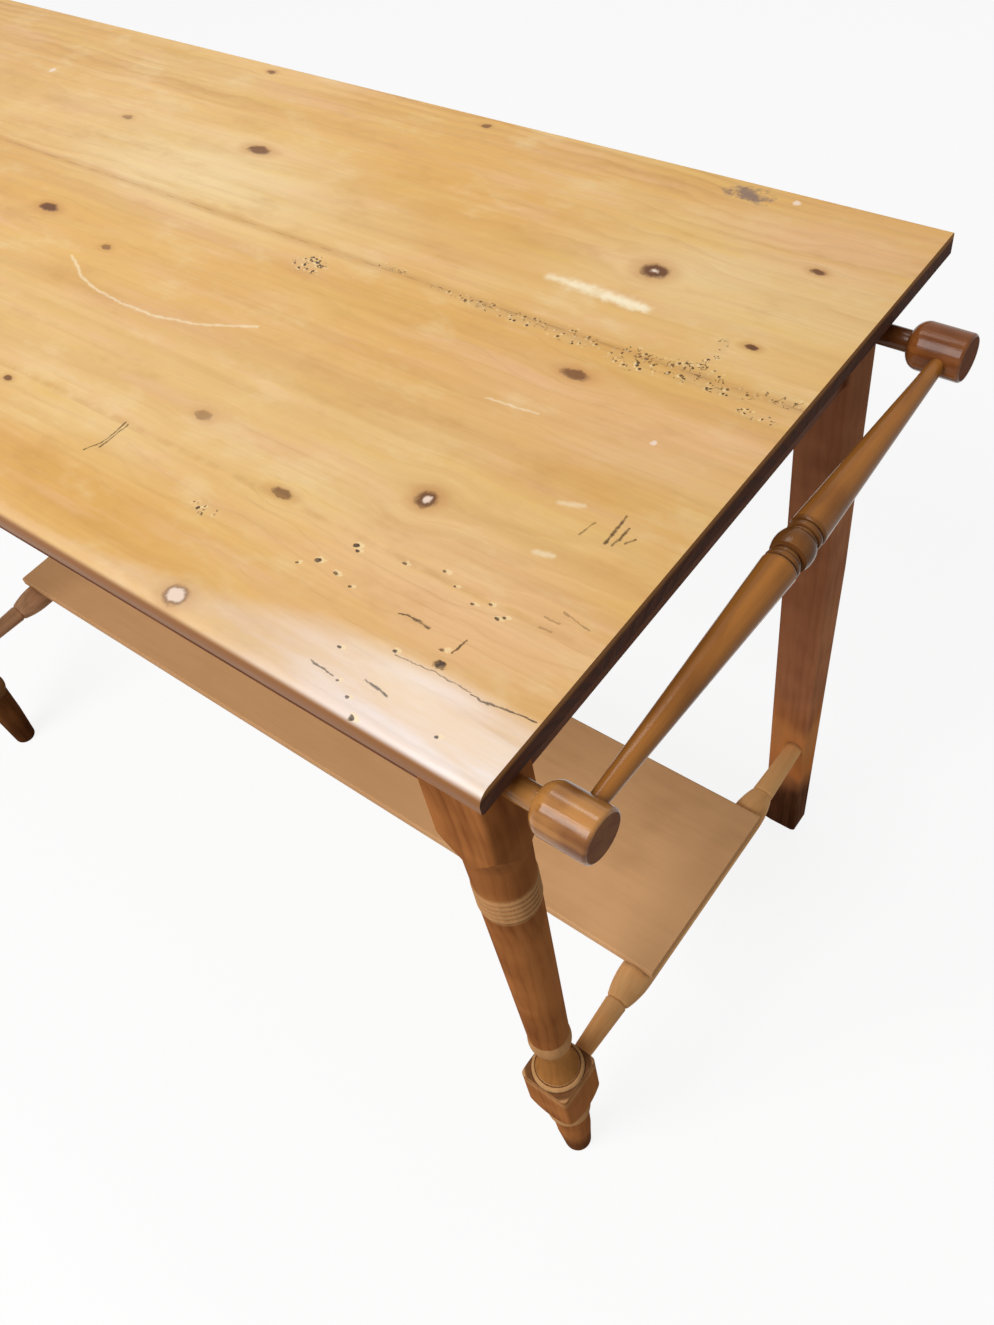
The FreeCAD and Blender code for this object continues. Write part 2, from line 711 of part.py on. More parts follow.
def towel_arm(label, y, stock, inward_y):
    """Turned arm out of a leg's outer face: tenon, neck and a mallet head with the rail's socket."""
    body = new_body(label, (f"leg_right + {stock} / 2", y, "arm_height"))
    tip = f"(arm_reach - {stock} / 2)"
    neck_end = f"({tip} - arm_head_length)"
    tenon_end = f"-({stock} / 2 - tenon_inset)"
    steps = [
        (tenon_end, "0", 0),
        (tenon_end, "arm_tenon / 2", 0),
        ("0", "arm_tenon / 2", 0),
        ("0", "arm_neck / 2", 0),
        (neck_end, "arm_neck / 2", 0),
        (f"{neck_end} + arm_shoulder", "arm_head / 2", ARM_SHOULDER_BEND_SHARE),
        (f"{tip} - arm_ease", "arm_head / 2", 0),
        (tip, "arm_head / 2 - arm_ease", ARM_EASE_BEND_SHARE),
        (tip, "0", 0),
    ]
    sketch = sketch_on(body, "XY_Plane")
    add_outline(sketch, steps, FreeCAD.Vector(0, 1, 0))
    revolve(body, sketch, "H_Axis")
    sketch = sketch_on(body, "XZ_Plane", ("0", "0", f"{-inward_y} * arm_head / 2"))
    add_circles(sketch, [(f"{tip} - rail_inset", "0")], "rail_tenon + 2 * running_gap")
    pocket(body, sketch, "rail_socket", inward_y > 0)
    nodes.append(body)


def half_rail(longer):
    """Half of the rail's outline from its rings to its end in an arm, longer than half by a length."""
    half = share_steps(RAIL_RING_SHARES, "rail_diameter", "0", "rail_rings / 2")
    surface = f"leg_depth_spacing / 2 - arm_head / 2 + {longer}"
    half.append(("rail_tenon / 2", f"{surface} - rail_lead", 0))
    half.append(("rail_tenon / 2", f"{surface} + rail_socket - end_float", 0))
    half.append(("0", f"{surface} + rail_socket - end_float", 0))
    return half


def make_towel_rail():
    """Arms on the right legs and the ringed rail that turns in their sockets."""
    towel_arm("towel_arm_front", "leg_front", "leg_stock", 1)
    towel_arm("towel_arm_back", "leg_back", "back_outer_stock", -1)
    body = new_body("towel_rail", ("rail_x", "span_middle_y + ring_shift", "arm_height"))
    sketch = sketch_on(body, "XY_Plane")
    halves = (half_rail("ring_shift"), half_rail("-ring_shift"))
    add_outline(sketch, both_ways(*halves, RAIL_BARREL_BEND_SHARE))
    revolve(body, sketch)
    nodes.append(body)


def check_document():
    """Stops where an object failed or a piece has no sound shape."""
    for item in doc.Objects:
        if "Invalid" in item.State or "Error" in item.State:
            raise ValueError(f"{item.Label} failed: {item.State}")
    for node in nodes:
        if node.Shape.isNull() or not node.Shape.isValid():
            raise ValueError(f"{node.Label} has no sound shape")


fill_sheet()
make_top()
make_legs()
make_aprons()
make_blocks()
make_stretchers()
make_shelf()
make_towel_rail()
doc.recompute()
check_document()
os.makedirs("parts", exist_ok=True)
for node in nodes:
    node.Shape.exportStep(f"parts/{node.Label}.step")
    print(node.Label, len(node.Shape.Solids), round(node.Shape.Volume))
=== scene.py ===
import math

import bpy
from mathutils import Matrix, Vector


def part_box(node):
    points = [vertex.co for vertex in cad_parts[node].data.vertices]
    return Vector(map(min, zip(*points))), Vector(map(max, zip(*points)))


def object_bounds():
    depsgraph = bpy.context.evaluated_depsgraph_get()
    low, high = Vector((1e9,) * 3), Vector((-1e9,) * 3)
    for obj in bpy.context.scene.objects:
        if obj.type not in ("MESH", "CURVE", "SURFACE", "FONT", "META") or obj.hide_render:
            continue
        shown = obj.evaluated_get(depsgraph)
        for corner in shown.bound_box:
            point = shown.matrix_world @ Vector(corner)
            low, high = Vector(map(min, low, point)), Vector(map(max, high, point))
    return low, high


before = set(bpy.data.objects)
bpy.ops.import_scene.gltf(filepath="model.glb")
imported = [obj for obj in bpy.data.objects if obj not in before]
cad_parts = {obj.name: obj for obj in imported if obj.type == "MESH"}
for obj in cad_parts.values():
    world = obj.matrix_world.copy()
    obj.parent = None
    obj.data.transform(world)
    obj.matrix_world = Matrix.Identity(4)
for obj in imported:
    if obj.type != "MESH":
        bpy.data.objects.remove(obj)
cad_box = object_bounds()

X_AXIS, Y_AXIS, Z_AXIS = 0, 1, 2

# Camera of the photograph: place in metres, angles in degrees, focal length in pixels of the image
IMAGE_WIDTH = 994
IMAGE_HEIGHT = 1325
CAMERA_PLACE = Vector((0.8487, -0.5026, 1.2872))
CAMERA_AZIMUTH = 47.33
CAMERA_ELEVATION = 50.93
CAMERA_ROLL = -12.66
FOCAL_PIXELS = 1171.2
SENSOR_HEIGHT = 36.0

# Colours as they look on a screen, from 0 to 255
HONEY = (226, 184, 120)
PALE_HONEY = (233, 206, 155)
ORANGE_HONEY = (216, 164, 86)
GRAIN_BROWN = (184, 132, 70)
PINK_TAN = (230, 184, 142)
GOLD_TAN = (222, 180, 96)
KNOT_BROWN = (84, 38, 8)
KNOT_HALO = (176, 114, 60)
PLUG_PALE = (240, 216, 196)
RAW_WOOD = (242, 216, 164)
WORM_TAN = (208, 174, 122)
WORM_DARK = (52, 24, 6)
SCRATCH_PALE = (248, 234, 200)
STAIN_GREY = (122, 100, 92)
# Whitish bloom of worn wax, partly a painted highlight
WAX_BLOOM_AND_SHEEN = (236, 222, 216)
# Brown of the top's edge faces, a painted shade
EDGE_SHADE_BROWN = (146, 96, 54)
ARRIS_BROWN = (178, 124, 70)
END_BROWN = (76, 40, 20)
END_DARK = (52, 25, 11)
SHELF_PALE = (230, 178, 126)
SHELF_DARK = (204, 154, 106)
LEG_LIGHT = (182, 116, 64)
LEG_DARK = (108, 58, 29)
LEG_DEEP = (60, 31, 15)
# Pale tan of worn wood; on the front legs' rings, ledge and bead it is also a painted highlight
LEG_WEAR_AND_HIGHLIGHT = (214, 168, 116)
BACK_LEG_LIGHT = (202, 136, 96)
BACK_LEG_DARK = (150, 94, 64)
# Aprons: dark browns that paint the shade under the top's overhang
SHADED_APRON_LIGHT = (116, 66, 34)
SHADED_APRON_DARK = (82, 44, 22)
LEG_ORANGE = (234, 142, 60)
LEG_GOLD = (200, 144, 76)
RAIL_LIGHT = (174, 112, 48)
RAIL_DARK = (116, 68, 26)
ARM_LIGHT = (196, 136, 72)
ARM_DARK = (108, 58, 20)
# Back arm: a darker copy of the arm wood, painted shade
SHADED_BACK_ARM_LIGHT = (142, 84, 40)
SHADED_BACK_ARM_DARK = (96, 50, 20)
STRETCHER_LIGHT = (252, 194, 128)
STRETCHER_DARK = (208, 142, 82)
# Left stretcher: a darker copy of the stretcher wood, painted shade
SHADED_LEFT_STRETCHER_LIGHT = (212, 162, 122)
SHADED_LEFT_STRETCHER_DARK = (122, 76, 46)
BARE_LIGHT = (198, 158, 110)
BARE_DARK = (150, 108, 66)
STEEL = (120, 116, 112)
RUST = (104, 72, 50)
FLOOR_PALE = (206, 206, 206)
FLOOR_SPECK = (198, 196, 192)
WHITE = (255, 255, 255)

# Least and most roughness of a finish, and the roughness of coats, sawn ends and the floor
POLISHED = (0.12, 0.24)
SATIN = (0.36, 0.52)
DULL = (0.42, 0.60)
WORN_DULL = (0.70, 0.85)
RUSTY = (0.35, 0.80)
WAX_ROUGHNESS = 0.25
POLISH_ROUGHNESS = 0.12
END_ROUGHNESS = 0.8
FLOOR_ROUGHNESS = 0.9

# Specular levels, and depths of bumps in metres
TOP_SPECULAR = 0.2
WOOD_SPECULAR = 0.03
LEG_SPECULAR = 0.01
ARM_SPECULAR = 0.2
RAIL_SPECULAR = 0.15
STEEL_SPECULAR = 0.3
STEEL_METALLIC = 0.8
TOP_BUMP = 0.0008
WOOD_BUMP = 0.0003
STEEL_BUMP = 0.0002

# Light, dark and worn colour of a wood
LEG_TONES = (LEG_LIGHT, LEG_DARK, LEG_WEAR_AND_HIGHLIGHT)
BACK_LEG_TONES = (BACK_LEG_LIGHT, BACK_LEG_DARK, LEG_WEAR_AND_HIGHLIGHT)
SHADED_APRON_TONES = (SHADED_APRON_LIGHT, SHADED_APRON_DARK, LEG_LIGHT)
RIGHT_STRETCHER_TONES = (STRETCHER_LIGHT, STRETCHER_DARK, LEG_WEAR_AND_HIGHLIGHT)
SHADED_LEFT_STRETCHER_TONES = (SHADED_LEFT_STRETCHER_LIGHT, SHADED_LEFT_STRETCHER_DARK, LEG_WEAR_AND_HIGHLIGHT)
SHELF_TONES = (SHELF_PALE, SHELF_DARK, SHELF_PALE)
ARM_TONES = (ARM_LIGHT, ARM_DARK, RAIL_LIGHT)
SHADED_BACK_ARM_TONES = (SHADED_BACK_ARM_LIGHT, SHADED_BACK_ARM_DARK, RAIL_LIGHT)
RAIL_TONES = (RAIL_LIGHT, RAIL_DARK, LEG_WEAR_AND_HIGHLIGHT)
BARE_TONES = (BARE_LIGHT, BARE_DARK, BARE_LIGHT)

# Crests of the front legs' rings: heights, half thickness and softness of their pale lines, worn
# wood and painted highlight
RING_CRESTS = [0.5641 + 0.0062 * ring for ring in range(5)]
CREST_HALF = 0.0018
CREST_SOFTNESS = 0.0010

# Tints along a piece: lowest and highest place on its axis, softness in metres, colour and share
FRONT_LEG_TINTS = [
    (-0.100, 0.040, 0.020, LEG_DEEP, 0.85),
    # Pale bands on the ankle ring, the block's ledge and ring, the bead and the ring group: wear
    # and painted highlight
    (0.104, 0.125, 0.001, LEG_WEAR_AND_HIGHLIGHT, 0.70),
    (0.203, 0.214, 0.002, LEG_WEAR_AND_HIGHLIGHT, 0.40),
    (0.218, 0.226, 0.001, LEG_WEAR_AND_HIGHLIGHT, 0.90),
    (0.226, 0.284, 0.004, LEG_GOLD, 0.45),
    (0.284, 0.309, 0.001, LEG_WEAR_AND_HIGHLIGHT, 0.65),
    (0.559, 0.594, 0.002, LEG_WEAR_AND_HIGHLIGHT, 0.40),
    (0.598, 0.650, 0.012, LEG_DARK, 0.35),
] + [
    (crest - CREST_HALF, crest + CREST_HALF, CREST_SOFTNESS, LEG_WEAR_AND_HIGHLIGHT, 0.60)
    for crest in RING_CRESTS
]
# The left front leg's extra dark band up to 0.125 m is painted shade
LEFT_LEG_TINTS = FRONT_LEG_TINTS + [(-0.300, 0.125, 0.020, LEG_DEEP, 0.92)]
BACK_LEG_TINTS = [
    # The dark band high on the back legs is painted shade under the top
    (0.560, 0.900, 0.080, LEG_DEEP, 0.35),
    (0.100, 0.240, 0.040, LEG_ORANGE, 0.75),
    (0.150, 0.225, 0.020, LEG_WEAR_AND_HIGHLIGHT, 0.25),
    (-0.300, 0.100, 0.030, LEG_DEEP, 1.00),
]
# Painted shadow of the top on the shelf's left part
SHELF_SHADE_TINTS = [(-0.800, 0.300, 0.120, SHELF_DARK, 0.90)]
STRETCHER_TINTS = [(-0.185, -0.120, 0.006, LEG_WEAR_AND_HIGHLIGHT, 0.40)]
RAIL_TINTS = [(-0.042, -0.002, 0.002, LEG_DEEP, 0.70)]
# Painted shade on the back arm's stem next to the leg
BACK_ARM_SHADE_TINTS = [(0.500, 0.598, 0.003, LEG_DEEP, 0.70)]

# Painted shade on the rail's side towards the table, standing in for a dark reflection: places
# along X from its axis where it starts and ends, shares there
RAIL_PAINTED_SHADE = (-0.0050, 0.0040, 0.45, 0.0)
PAINTED_SHADE_SWAY = 0.008

NOISE_MIDDLE = 0.5
OCCLUSION_SAMPLES = 6


def linear(colour):
    """Scene colour with alpha for a screen colour."""
    shares = [part / 255 for part in colour]
    parts = [
        part / 12.92 if part < 0.04045 else ((part + 0.055) / 1.055) ** 2.4
        for part in shares
    ]
    return (*parts, 1.0)


def camera_matrix():
    """Camera axes and place as a matrix."""
    angles = (CAMERA_AZIMUTH, CAMERA_ELEVATION, CAMERA_ROLL)
    azimuth, elevation, roll = (math.radians(angle) for angle in angles)
    level = math.cos(elevation)
    back = Vector((math.sin(azimuth) * level, -math.cos(azimuth) * level, math.sin(elevation)))
    right = (-back).cross(Vector((0, 0, 1))).normalized()
    upward = right.cross(-back)
    turned_right = math.cos(roll) * right + math.sin(roll) * upward
    turned_up = math.cos(roll) * upward - math.sin(roll) * right
    axes = Matrix((turned_right, turned_up, back)).transposed().to_4x4()
    return Matrix.Translation(CAMERA_PLACE) @ axes


def on_top(pixel):
    """Point of the table's top that a pixel of the photograph shows."""
    ray = Vector((pixel[0] - IMAGE_WIDTH / 2, IMAGE_HEIGHT / 2 - pixel[1], -FOCAL_PIXELS))
    ray = camera_matrix().to_3x3() @ ray
    reach = (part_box("top_board_middle")[1].z - CAMERA_PLACE.z) / ray.z
    return CAMERA_PLACE + ray * reach


class Shade:
    """Shader nodes of one material, written as short formulas."""

    def __init__(self, name):
        self.material = bpy.data.materials.new(name)
        self.material.use_nodes = True
        self.tree = self.material.node_tree
        self.tree.nodes.clear()
        self.place = self.add("ShaderNodeTexCoord").outputs["Object"]
        self.normal = self.add("ShaderNodeNewGeometry").outputs["Normal"]

    def add(self, kind, **settings):
        """Node of a kind with its settings."""
        node = self.tree.nodes.new(kind)
        for name, setting in settings.items():
            setattr(node, name, setting)
        return node

    def feed(self, socket, value):
        """Links a socket to an output, or sets a plain value on it."""
        if isinstance(value, bpy.types.NodeSocket):
            self.tree.links.new(value, socket)
        else:
            socket.default_value = value

    def math(self, operation, *values):
        """Sum, product or other function of numbers."""
        node = self.add("ShaderNodeMath", operation=operation)
        for socket, value in zip(node.inputs, values):
            self.feed(socket, value)
        return node.outputs[0]

    def product(self, *values):
        """Product of two or more numbers."""
        total = values[0]
        for value in values[1:]:
            total = self.math("MULTIPLY", total, value)
        return total

    def larger(self, first, second):
        """Larger of two numbers, or the second where there is no first."""
        return second if first is None else self.math("MAXIMUM", first, second)

    def apart(self, first, second):
        """Distance between two numbers."""
        return self.math("ABSOLUTE", self.math("SUBTRACT", first, second))

    def sway(self, value, noise, most):
        """Value that strays with a noise, by up to half of a distance either way."""
        return self.math("MULTIPLY_ADD", self.math("SUBTRACT", noise, NOISE_MIDDLE), most, value)

    def vector(self, operation, *values):
        """Function of vectors, a number where it gives one."""
        node = self.add("ShaderNodeVectorMath", operation=operation)
        for socket, value in zip(node.inputs, values):
            self.feed(socket, value)
        return node.outputs["Value" if operation in ("LENGTH", "DOT_PRODUCT") else "Vector"]

    def split(self, vector):
        """The three parts of a vector."""
        node = self.add("ShaderNodeSeparateXYZ")
        self.feed(node.inputs[0], vector)
        return node.outputs

    def join(self, x, y, z):
        """Vector of three numbers."""
        node = self.add("ShaderNodeCombineXYZ")
        for socket, value in zip(node.inputs, (x, y, z)):
            self.feed(socket, value)
        return node.outputs[0]

    def noise(self, place, scale, detail=2.0, roughness=0.5):
        """Soft noise from 0 to 1."""
        node = self.add("ShaderNodeTexNoise")
        self.feed(node.inputs["Vector"], place)
        self.feed(node.inputs["Scale"], scale)
        self.feed(node.inputs["Detail"], detail)
        self.feed(node.inputs["Roughness"], roughness)
        return node.outputs["Fac"]

    def grain(self, along, across, depth, form):
        """Noise drawn out along the grain; its form is stretches, scale, detail and roughness."""
        along_stretch, across_stretch, scale, detail, roughness = form
        along = self.product(along, along_stretch)
        across = self.product(across, across_stretch)
        return self.noise(self.join(along, across, depth), scale, detail, roughness)

    def cells(self, place, scale):
        """Distance to the nearest of scattered points, in cell widths."""
        node = self.add("ShaderNodeTexVoronoi")
        self.feed(node.inputs["Vector"], place)
        self.feed(node.inputs["Scale"], scale)
        return node.outputs["Distance"]

    def rise(self, value, low, high, start=0.0, end=1.0):
        """Smooth step of a value between low and high."""
        node = self.add("ShaderNodeMapRange", interpolation_type="SMOOTHSTEP")
        for socket, number in zip(node.inputs, (value, low, high, start, end)):
            self.feed(socket, number)
        return node.outputs[0]

    def blot(self, gap, noise, fray, start, full, share):
        """Share of a mark with a ragged rim, from the distance to its middle."""
        return self.rise(self.math("MULTIPLY_ADD", noise, fray, gap), start, full, 0.0, share)

    def mix(self, share, first, second):
        """Colour between two colours."""
        node = self.add("ShaderNodeMix", data_type="RGBA")
        self.feed(node.inputs["Factor"], share)
        for socket, colour in zip((node.inputs[6], node.inputs[7]), (first, second)):
            self.feed(socket, linear(colour) if isinstance(colour, tuple) else colour)
        return node.outputs[2]

    def tint(self, colour, tone, value, low, high, share=1.0):
        """Colour that turns into a tone, up to a share, as a value goes from low to high."""
        return self.mix(self.rise(value, low, high, 0.0, share), colour, tone)

    def crevices(self, reach, inside=False):
        """Openness from 0 in crevices, or from 0 at sharp corners, to 1."""
        node = self.add("ShaderNodeAmbientOcclusion", samples=OCCLUSION_SAMPLES, inside=inside)
        self.feed(node.inputs["Distance"], reach)
        return node.outputs["AO"]

    def surface(
        self, colour, roughness, specular, height=None, depth=0.0,
        coat=0.0, coat_roughness=WAX_ROUGHNESS, metallic=0.0,
    ):
        """Surface shader with a colour, a roughness and a bump of some depth in metres."""
        surface = self.add("ShaderNodeBsdfPrincipled")
        self.feed(surface.inputs["Base Color"], colour)
        self.feed(surface.inputs["Roughness"], roughness)
        surface.inputs["Specular IOR Level"].default_value = specular
        surface.inputs["Metallic"].default_value = metallic
        self.feed(surface.inputs["Coat Weight"], coat)
        surface.inputs["Coat Roughness"].default_value = coat_roughness
        if height is not None:
            bump = self.add("ShaderNodeBump")
            bump.inputs["Strength"].default_value = 1.0
            bump.inputs["Distance"].default_value = depth
            self.feed(bump.inputs["Height"], height)
            self.feed(surface.inputs["Normal"], bump.outputs[0])
        return surface.outputs[0]

    def finish(self, surface):
        """Material that shows a surface shader."""
        output = self.add("ShaderNodeOutputMaterial")
        self.feed(output.inputs["Surface"], surface)
        return self.material


# Growth rings: noises that move the pith and ripple the rings, in Shade.grain's form, and how far
PITH_WANDER = (1.6, 1.0, 2.2, 1.0, 0.5)
PITH_WANDER_MOST = 0.05
PITH_SLOPE = 0.020
RING_RIPPLE = (5.0, 12.0, 3.0, 2.0, 0.5)
RING_RIPPLE_MOST = 1.6
LATE_WOOD_RISE = (0.25, 0.80)
LATE_WOOD_FALL = (1.0, 0.80)
LATE_WOOD_RELIEF = 0.2


def rings(shade, along, across, depth, spacing):
    """Growth rings of a plank about a pith that wanders below it: 0 to 1 in each."""
    wander = shade.grain(along, across, depth, PITH_WANDER)
    ripple = shade.grain(along, across, depth, RING_RIPPLE)
    side = shade.math("MULTIPLY_ADD", wander, PITH_WANDER_MOST, across)
    deep = shade.math("MULTIPLY_ADD", along, PITH_SLOPE, depth)
    radius = shade.vector("LENGTH", shade.join(side, deep, 0.0))
    radius = shade.math("MULTIPLY_ADD", ripple, spacing * RING_RIPPLE_MOST, radius)
    return shade.math("FRACT", shade.math("DIVIDE", radius, spacing))


def late_wood(shade, ring):
    """Darker late wood of a growth ring, from 0 to 1."""
    return shade.product(shade.rise(ring, *LATE_WOOD_RISE), shade.rise(ring, *LATE_WOOD_FALL))


def end_rings(shade, across, depth, spacing):
    """Growth rings on the end of a plank: 0 to 1 in each."""
    radius = shade.vector("LENGTH", shade.join(across, depth, 0.0))
    return shade.math("FRACT", shade.math("DIVIDE", radius, spacing))


def relief(shade, fibre, fibre_relief, late):
    """Height of the grain from its fibres and its late wood."""
    return shade.math("MULTIPLY_ADD", fibre, fibre_relief, shade.product(late, LATE_WOOD_RELIEF))


# Marks of the top, placed by pixels of the photograph; sizes in metres
# Knots: pixel, half length along the grain, half width, darkness and radius share of a pale plug
KNOTS = [
    ((259, 150), 0.0140, 0.0065, 0.80, 0.0),
    ((49, 207), 0.0130, 0.0060, 0.90, 0.0),
    ((106, 247), 0.0060, 0.0035, 0.60, 0.0),
    ((128, 117), 0.0070, 0.0035, 0.50, 0.0),
    ((655, 271), 0.0125, 0.0090, 0.90, 0.24),
    ((575, 374), 0.0115, 0.0055, 0.75, 0.0),
    ((818, 272), 0.0065, 0.0035, 0.85, 0.0),
    ((752, 347), 0.0060, 0.0030, 0.90, 0.0),
    ((427, 499), 0.0085, 0.0080, 0.85, 0.48),
    ((176, 595), 0.0100, 0.0085, 0.70, 0.70),
    ((282, 493), 0.0100, 0.0040, 0.70, 0.0),
    ((204, 415), 0.0085, 0.0050, 0.45, 0.0),
    ((8, 378), 0.0050, 0.0030, 0.80, 0.0),
    ((272, 72), 0.0060, 0.0035, 0.70, 0.0),
    ((487, 126), 0.0055, 0.0030, 0.70, 0.0),
]
# Dark cuts and cracks: the pixels that they run through, their half width and darkness
CUTS = [
    ([(395, 655), (433, 671), (470, 692)], 0.0005, 0.50),
    ([(470, 694), (487, 703), (537, 722)], 0.0006, 0.90),
    ([(478, 699), (497, 707)], 0.0011, 0.90),
    ([(84, 449), (101, 443), (117, 431), (126, 422)], 0.0008, 0.85),
    ([(100, 447), (113, 437), (129, 424)], 0.0007, 0.85),
    ([(580, 534), (595, 523)], 0.0009, 0.55),
    ([(605, 543), (627, 516)], 0.0013, 0.85),
    ([(613, 545), (630, 529)], 0.0014, 0.85),
    ([(625, 544), (636, 539)], 0.0010, 0.75),
    ([(311, 660), (333, 675)], 0.0008, 0.85),
    ([(366, 679), (387, 697)], 0.0010, 0.85),
    ([(400, 613), (416, 619)], 0.0007, 0.80),
    ([(414, 618), (429, 628)], 0.0013, 0.85),
    ([(452, 653), (468, 640)], 0.0007, 0.85),
    ([(545, 617), (560, 623)], 0.0009, 0.35),
    ([(564, 613), (590, 630)], 0.0009, 0.40),
    ([(540, 627), (552, 632)], 0.0009, 0.30),
]
# Dark holes with a pale rim: pixel and radius
HOLES = [
    ((440, 665), 0.0052),
    ((318, 560), 0.0026),
    ((336, 573), 0.0024),
    ((350, 587), 0.0016),
    ((357, 545), 0.0022),
    ((358, 551), 0.0018),
    ((405, 563), 0.0020),
    ((297, 562), 0.0016),
    ((445, 571), 0.0018),
    ((455, 587), 0.0014),
    ((473, 604), 0.0016),
    ((351, 716), 0.0024),
    ((347, 697), 0.0016),
    ((339, 647), 0.0014),
    ((395, 651), 0.0018),
    ((437, 737), 0.0016),
    ((337, 680), 0.0016),
    ((443, 650), 0.0020),
    ((490, 605), 0.0017),
    ((497, 619), 0.0016),
    ((504, 618), 0.0014),
]
# Pale scratches and smears: the pixels that they run through, their half width and share
SCRATCHES = [
    (
        [(72, 255), (82, 277), (97, 290), (121, 303), (152, 315), (195, 324), (257, 327)],
        0.0014, 0.50,
    ),
    ([(486, 398), (512, 406), (538, 414)], 0.0010, 0.45),
    ([(560, 503), (584, 506)], 0.0022, 0.40),
    ([(536, 552), (552, 556)], 0.0024, 0.50),
    ([(549, 276), (566, 282), (590, 289)], 0.0036, 0.60),
    ([(572, 284), (600, 293), (636, 305)], 0.0060, 0.60),
    ([(606, 296), (645, 309)], 0.0044, 0.80),
]
# Pale dots, grey stain, broad patches of another tone
DOTS = [((654, 443), 0.0030), ((797, 203), 0.0040), ((53, 70), 0.0050)]
STAIN = ((750, 195), 0.0300, 0.0130)
TONE_PATCHES = [
    ((200, 170), 0.26, 0.085, 0.85, PALE_HONEY),
    ((70, 340), 0.24, 0.075, 0.35, PALE_HONEY),
    ((350, 440), 0.22, 0.060, 0.25, PALE_HONEY),
    ((690, 260), 0.20, 0.060, 0.30, PALE_HONEY),
    ((500, 205), 0.20, 0.050, 0.70, ORANGE_HONEY),
    ((75, 490), 0.24, 0.060, 0.85, ORANGE_HONEY),
    ((620, 420), 0.18, 0.050, 0.40, PINK_TAN),
    ((450, 600), 0.16, 0.060, 0.55, PINK_TAN),
    ((835, 250), 0.14, 0.060, 0.60, PINK_TAN),
]
# Places of the worm tracks: pixel, half length along the grain, half width
WORM_PLACES = [
    ((310, 264), 0.022, 0.013),
    ((392, 268), 0.020, 0.005),
    ((448, 291), 0.026, 0.005),
    ((482, 305), 0.024, 0.007),
    ((522, 319), 0.034, 0.008),
    ((572, 336), 0.032, 0.011),
    ((635, 360), 0.028, 0.015),
    ((690, 372), 0.034, 0.015),
    ((716, 352), 0.007, 0.022),
    ((722, 388), 0.026, 0.010),
    ((757, 417), 0.020, 0.006),
    ((785, 402), 0.022, 0.008),
    ((204, 508), 0.014, 0.007),
]

# Noises of the top in Shade.grain's form; the second group bends round the knots
TOP_NOISES = {
    "patch": (0.35, 1.0, 9.0, 3.0, 0.6),
    "broad": (0.5, 1.3, 4.0, 2.0, 0.5),
    "cloud": (0.55, 1.0, 22.0, 4.0, 0.65),
    "figure": (1.0, 5.0, 3.0, 2.0, 0.5),
}
BENT_NOISES = {
    "fibre": (6.0, 260.0, 1.0, 3.0, 0.6),
    "streak": (1.6, 45.0, 1.0, 2.0, 0.5),
    "hue": (6.0, 40.0, 1.0, 4.0, 0.6),
}
# Layers of its colour: noise, levels where a tone starts and is full, share and tone
UNDER_LAYERS = [("patch", 0.45, 0.80, 0.50, PALE_HONEY)]
HUE_LAYERS = [
    ("hue", 0.50, 0.72, 0.45, PINK_TAN),
    ("hue", 0.48, 0.28, 0.45, GOLD_TAN),
]
GRAIN_LAYERS = [
    ("streak", 0.46, 0.78, 0.26, GRAIN_BROWN),
    ("streak", 0.46, 0.22, 0.20, PALE_HONEY),
    ("cloud", 0.50, 0.75, 0.45, PALE_HONEY),
    ("cloud", 0.48, 0.25, 0.30, GRAIN_BROWN),
    ("fibre", 0.40, 0.85, 0.20, GRAIN_BROWN),
]
BROAD_LEVELS = (0.30, 0.72)
FIGURE_LEVELS = (0.40, 0.75)
TONE_PATCH_SWAY = 1.2
TONE_PATCH_LEVELS = (1.3, 0.1)
TOP_ROUGH_LEVELS = (0.2, 0.8)
TOP_FIBRE_RELIEF = 0.25

# Waxed strip along the front edge, wider towards the right end: reach along X, widths, coat, and
# its pale bloom, which is worn wax and partly painted highlight
WAX_REACH = (0.16, 0.52)
WAX_WIDTHS = (0.010, 0.056)
WAX_PATCH_SWAY = 0.8
WAX_STREAK_SWAY = 0.5
WAX_LEVELS = (1.2, 0.6)
WAX_UP_LEVELS = (0.4, 0.7)
WAX_COAT = 0.55
BLOOM_AND_SHEEN_REACH = (0.24, 0.58)
BLOOM_AND_SHEEN_SHARES = (0.08, 0.95)
BLOOM_AND_SHEEN_STREAKS = (0.34, 0.60, 0.50, 1.0)

# Outlines of the top's marks: scales and reach of the noises that make them uneven
WAVER_SCALE = 160.0
WAVER_MOST = 0.0032
WAVER_SHIFT = (0.7, 0.3, 0.0)
RAGGED_SCALE = 210.0
STAIN_NOISE = (120.0, 3.0, 0.7)
# Knots: bend of the grain round them, then the distances where each part starts and is full
KNOT_BEND = 0.9
KNOT_BEND_FADE = 0.12
KNOT_FRAY = 0.5
KNOT_HALO_LEVELS = (2.4, 0.8)
KNOT_HALO_SHARE = 0.45
KNOT_LEVELS = (1.45, 0.85)
KNOT_DENT = (1.35, 0.95, 0.0, 0.8)
PLUG_STARTS = 0.35
PLUG_FULL = 0.05
PLUG_SHARE = 0.9
# Other marks, as Shade.blot takes them; scratches and cuts in half widths and without their share
SCRATCH_OUTLINE = (1.4, 2.4, 0.6)
CUT_OUTLINE = (1.6, 2.0, 0.8)
CUT_FADE = (0.35, 0.65, 1.0, 0.7)
DOT_OUTLINE = (0.6, 1.4, 0.8, 0.85)
STAIN_OUTLINE = (2.6, 2.2, 1.4, 0.85)
HOLE_OUTLINE = (1.4, 1.75, 1.20, 0.95)
HOLE_FLATTENING = 0.7
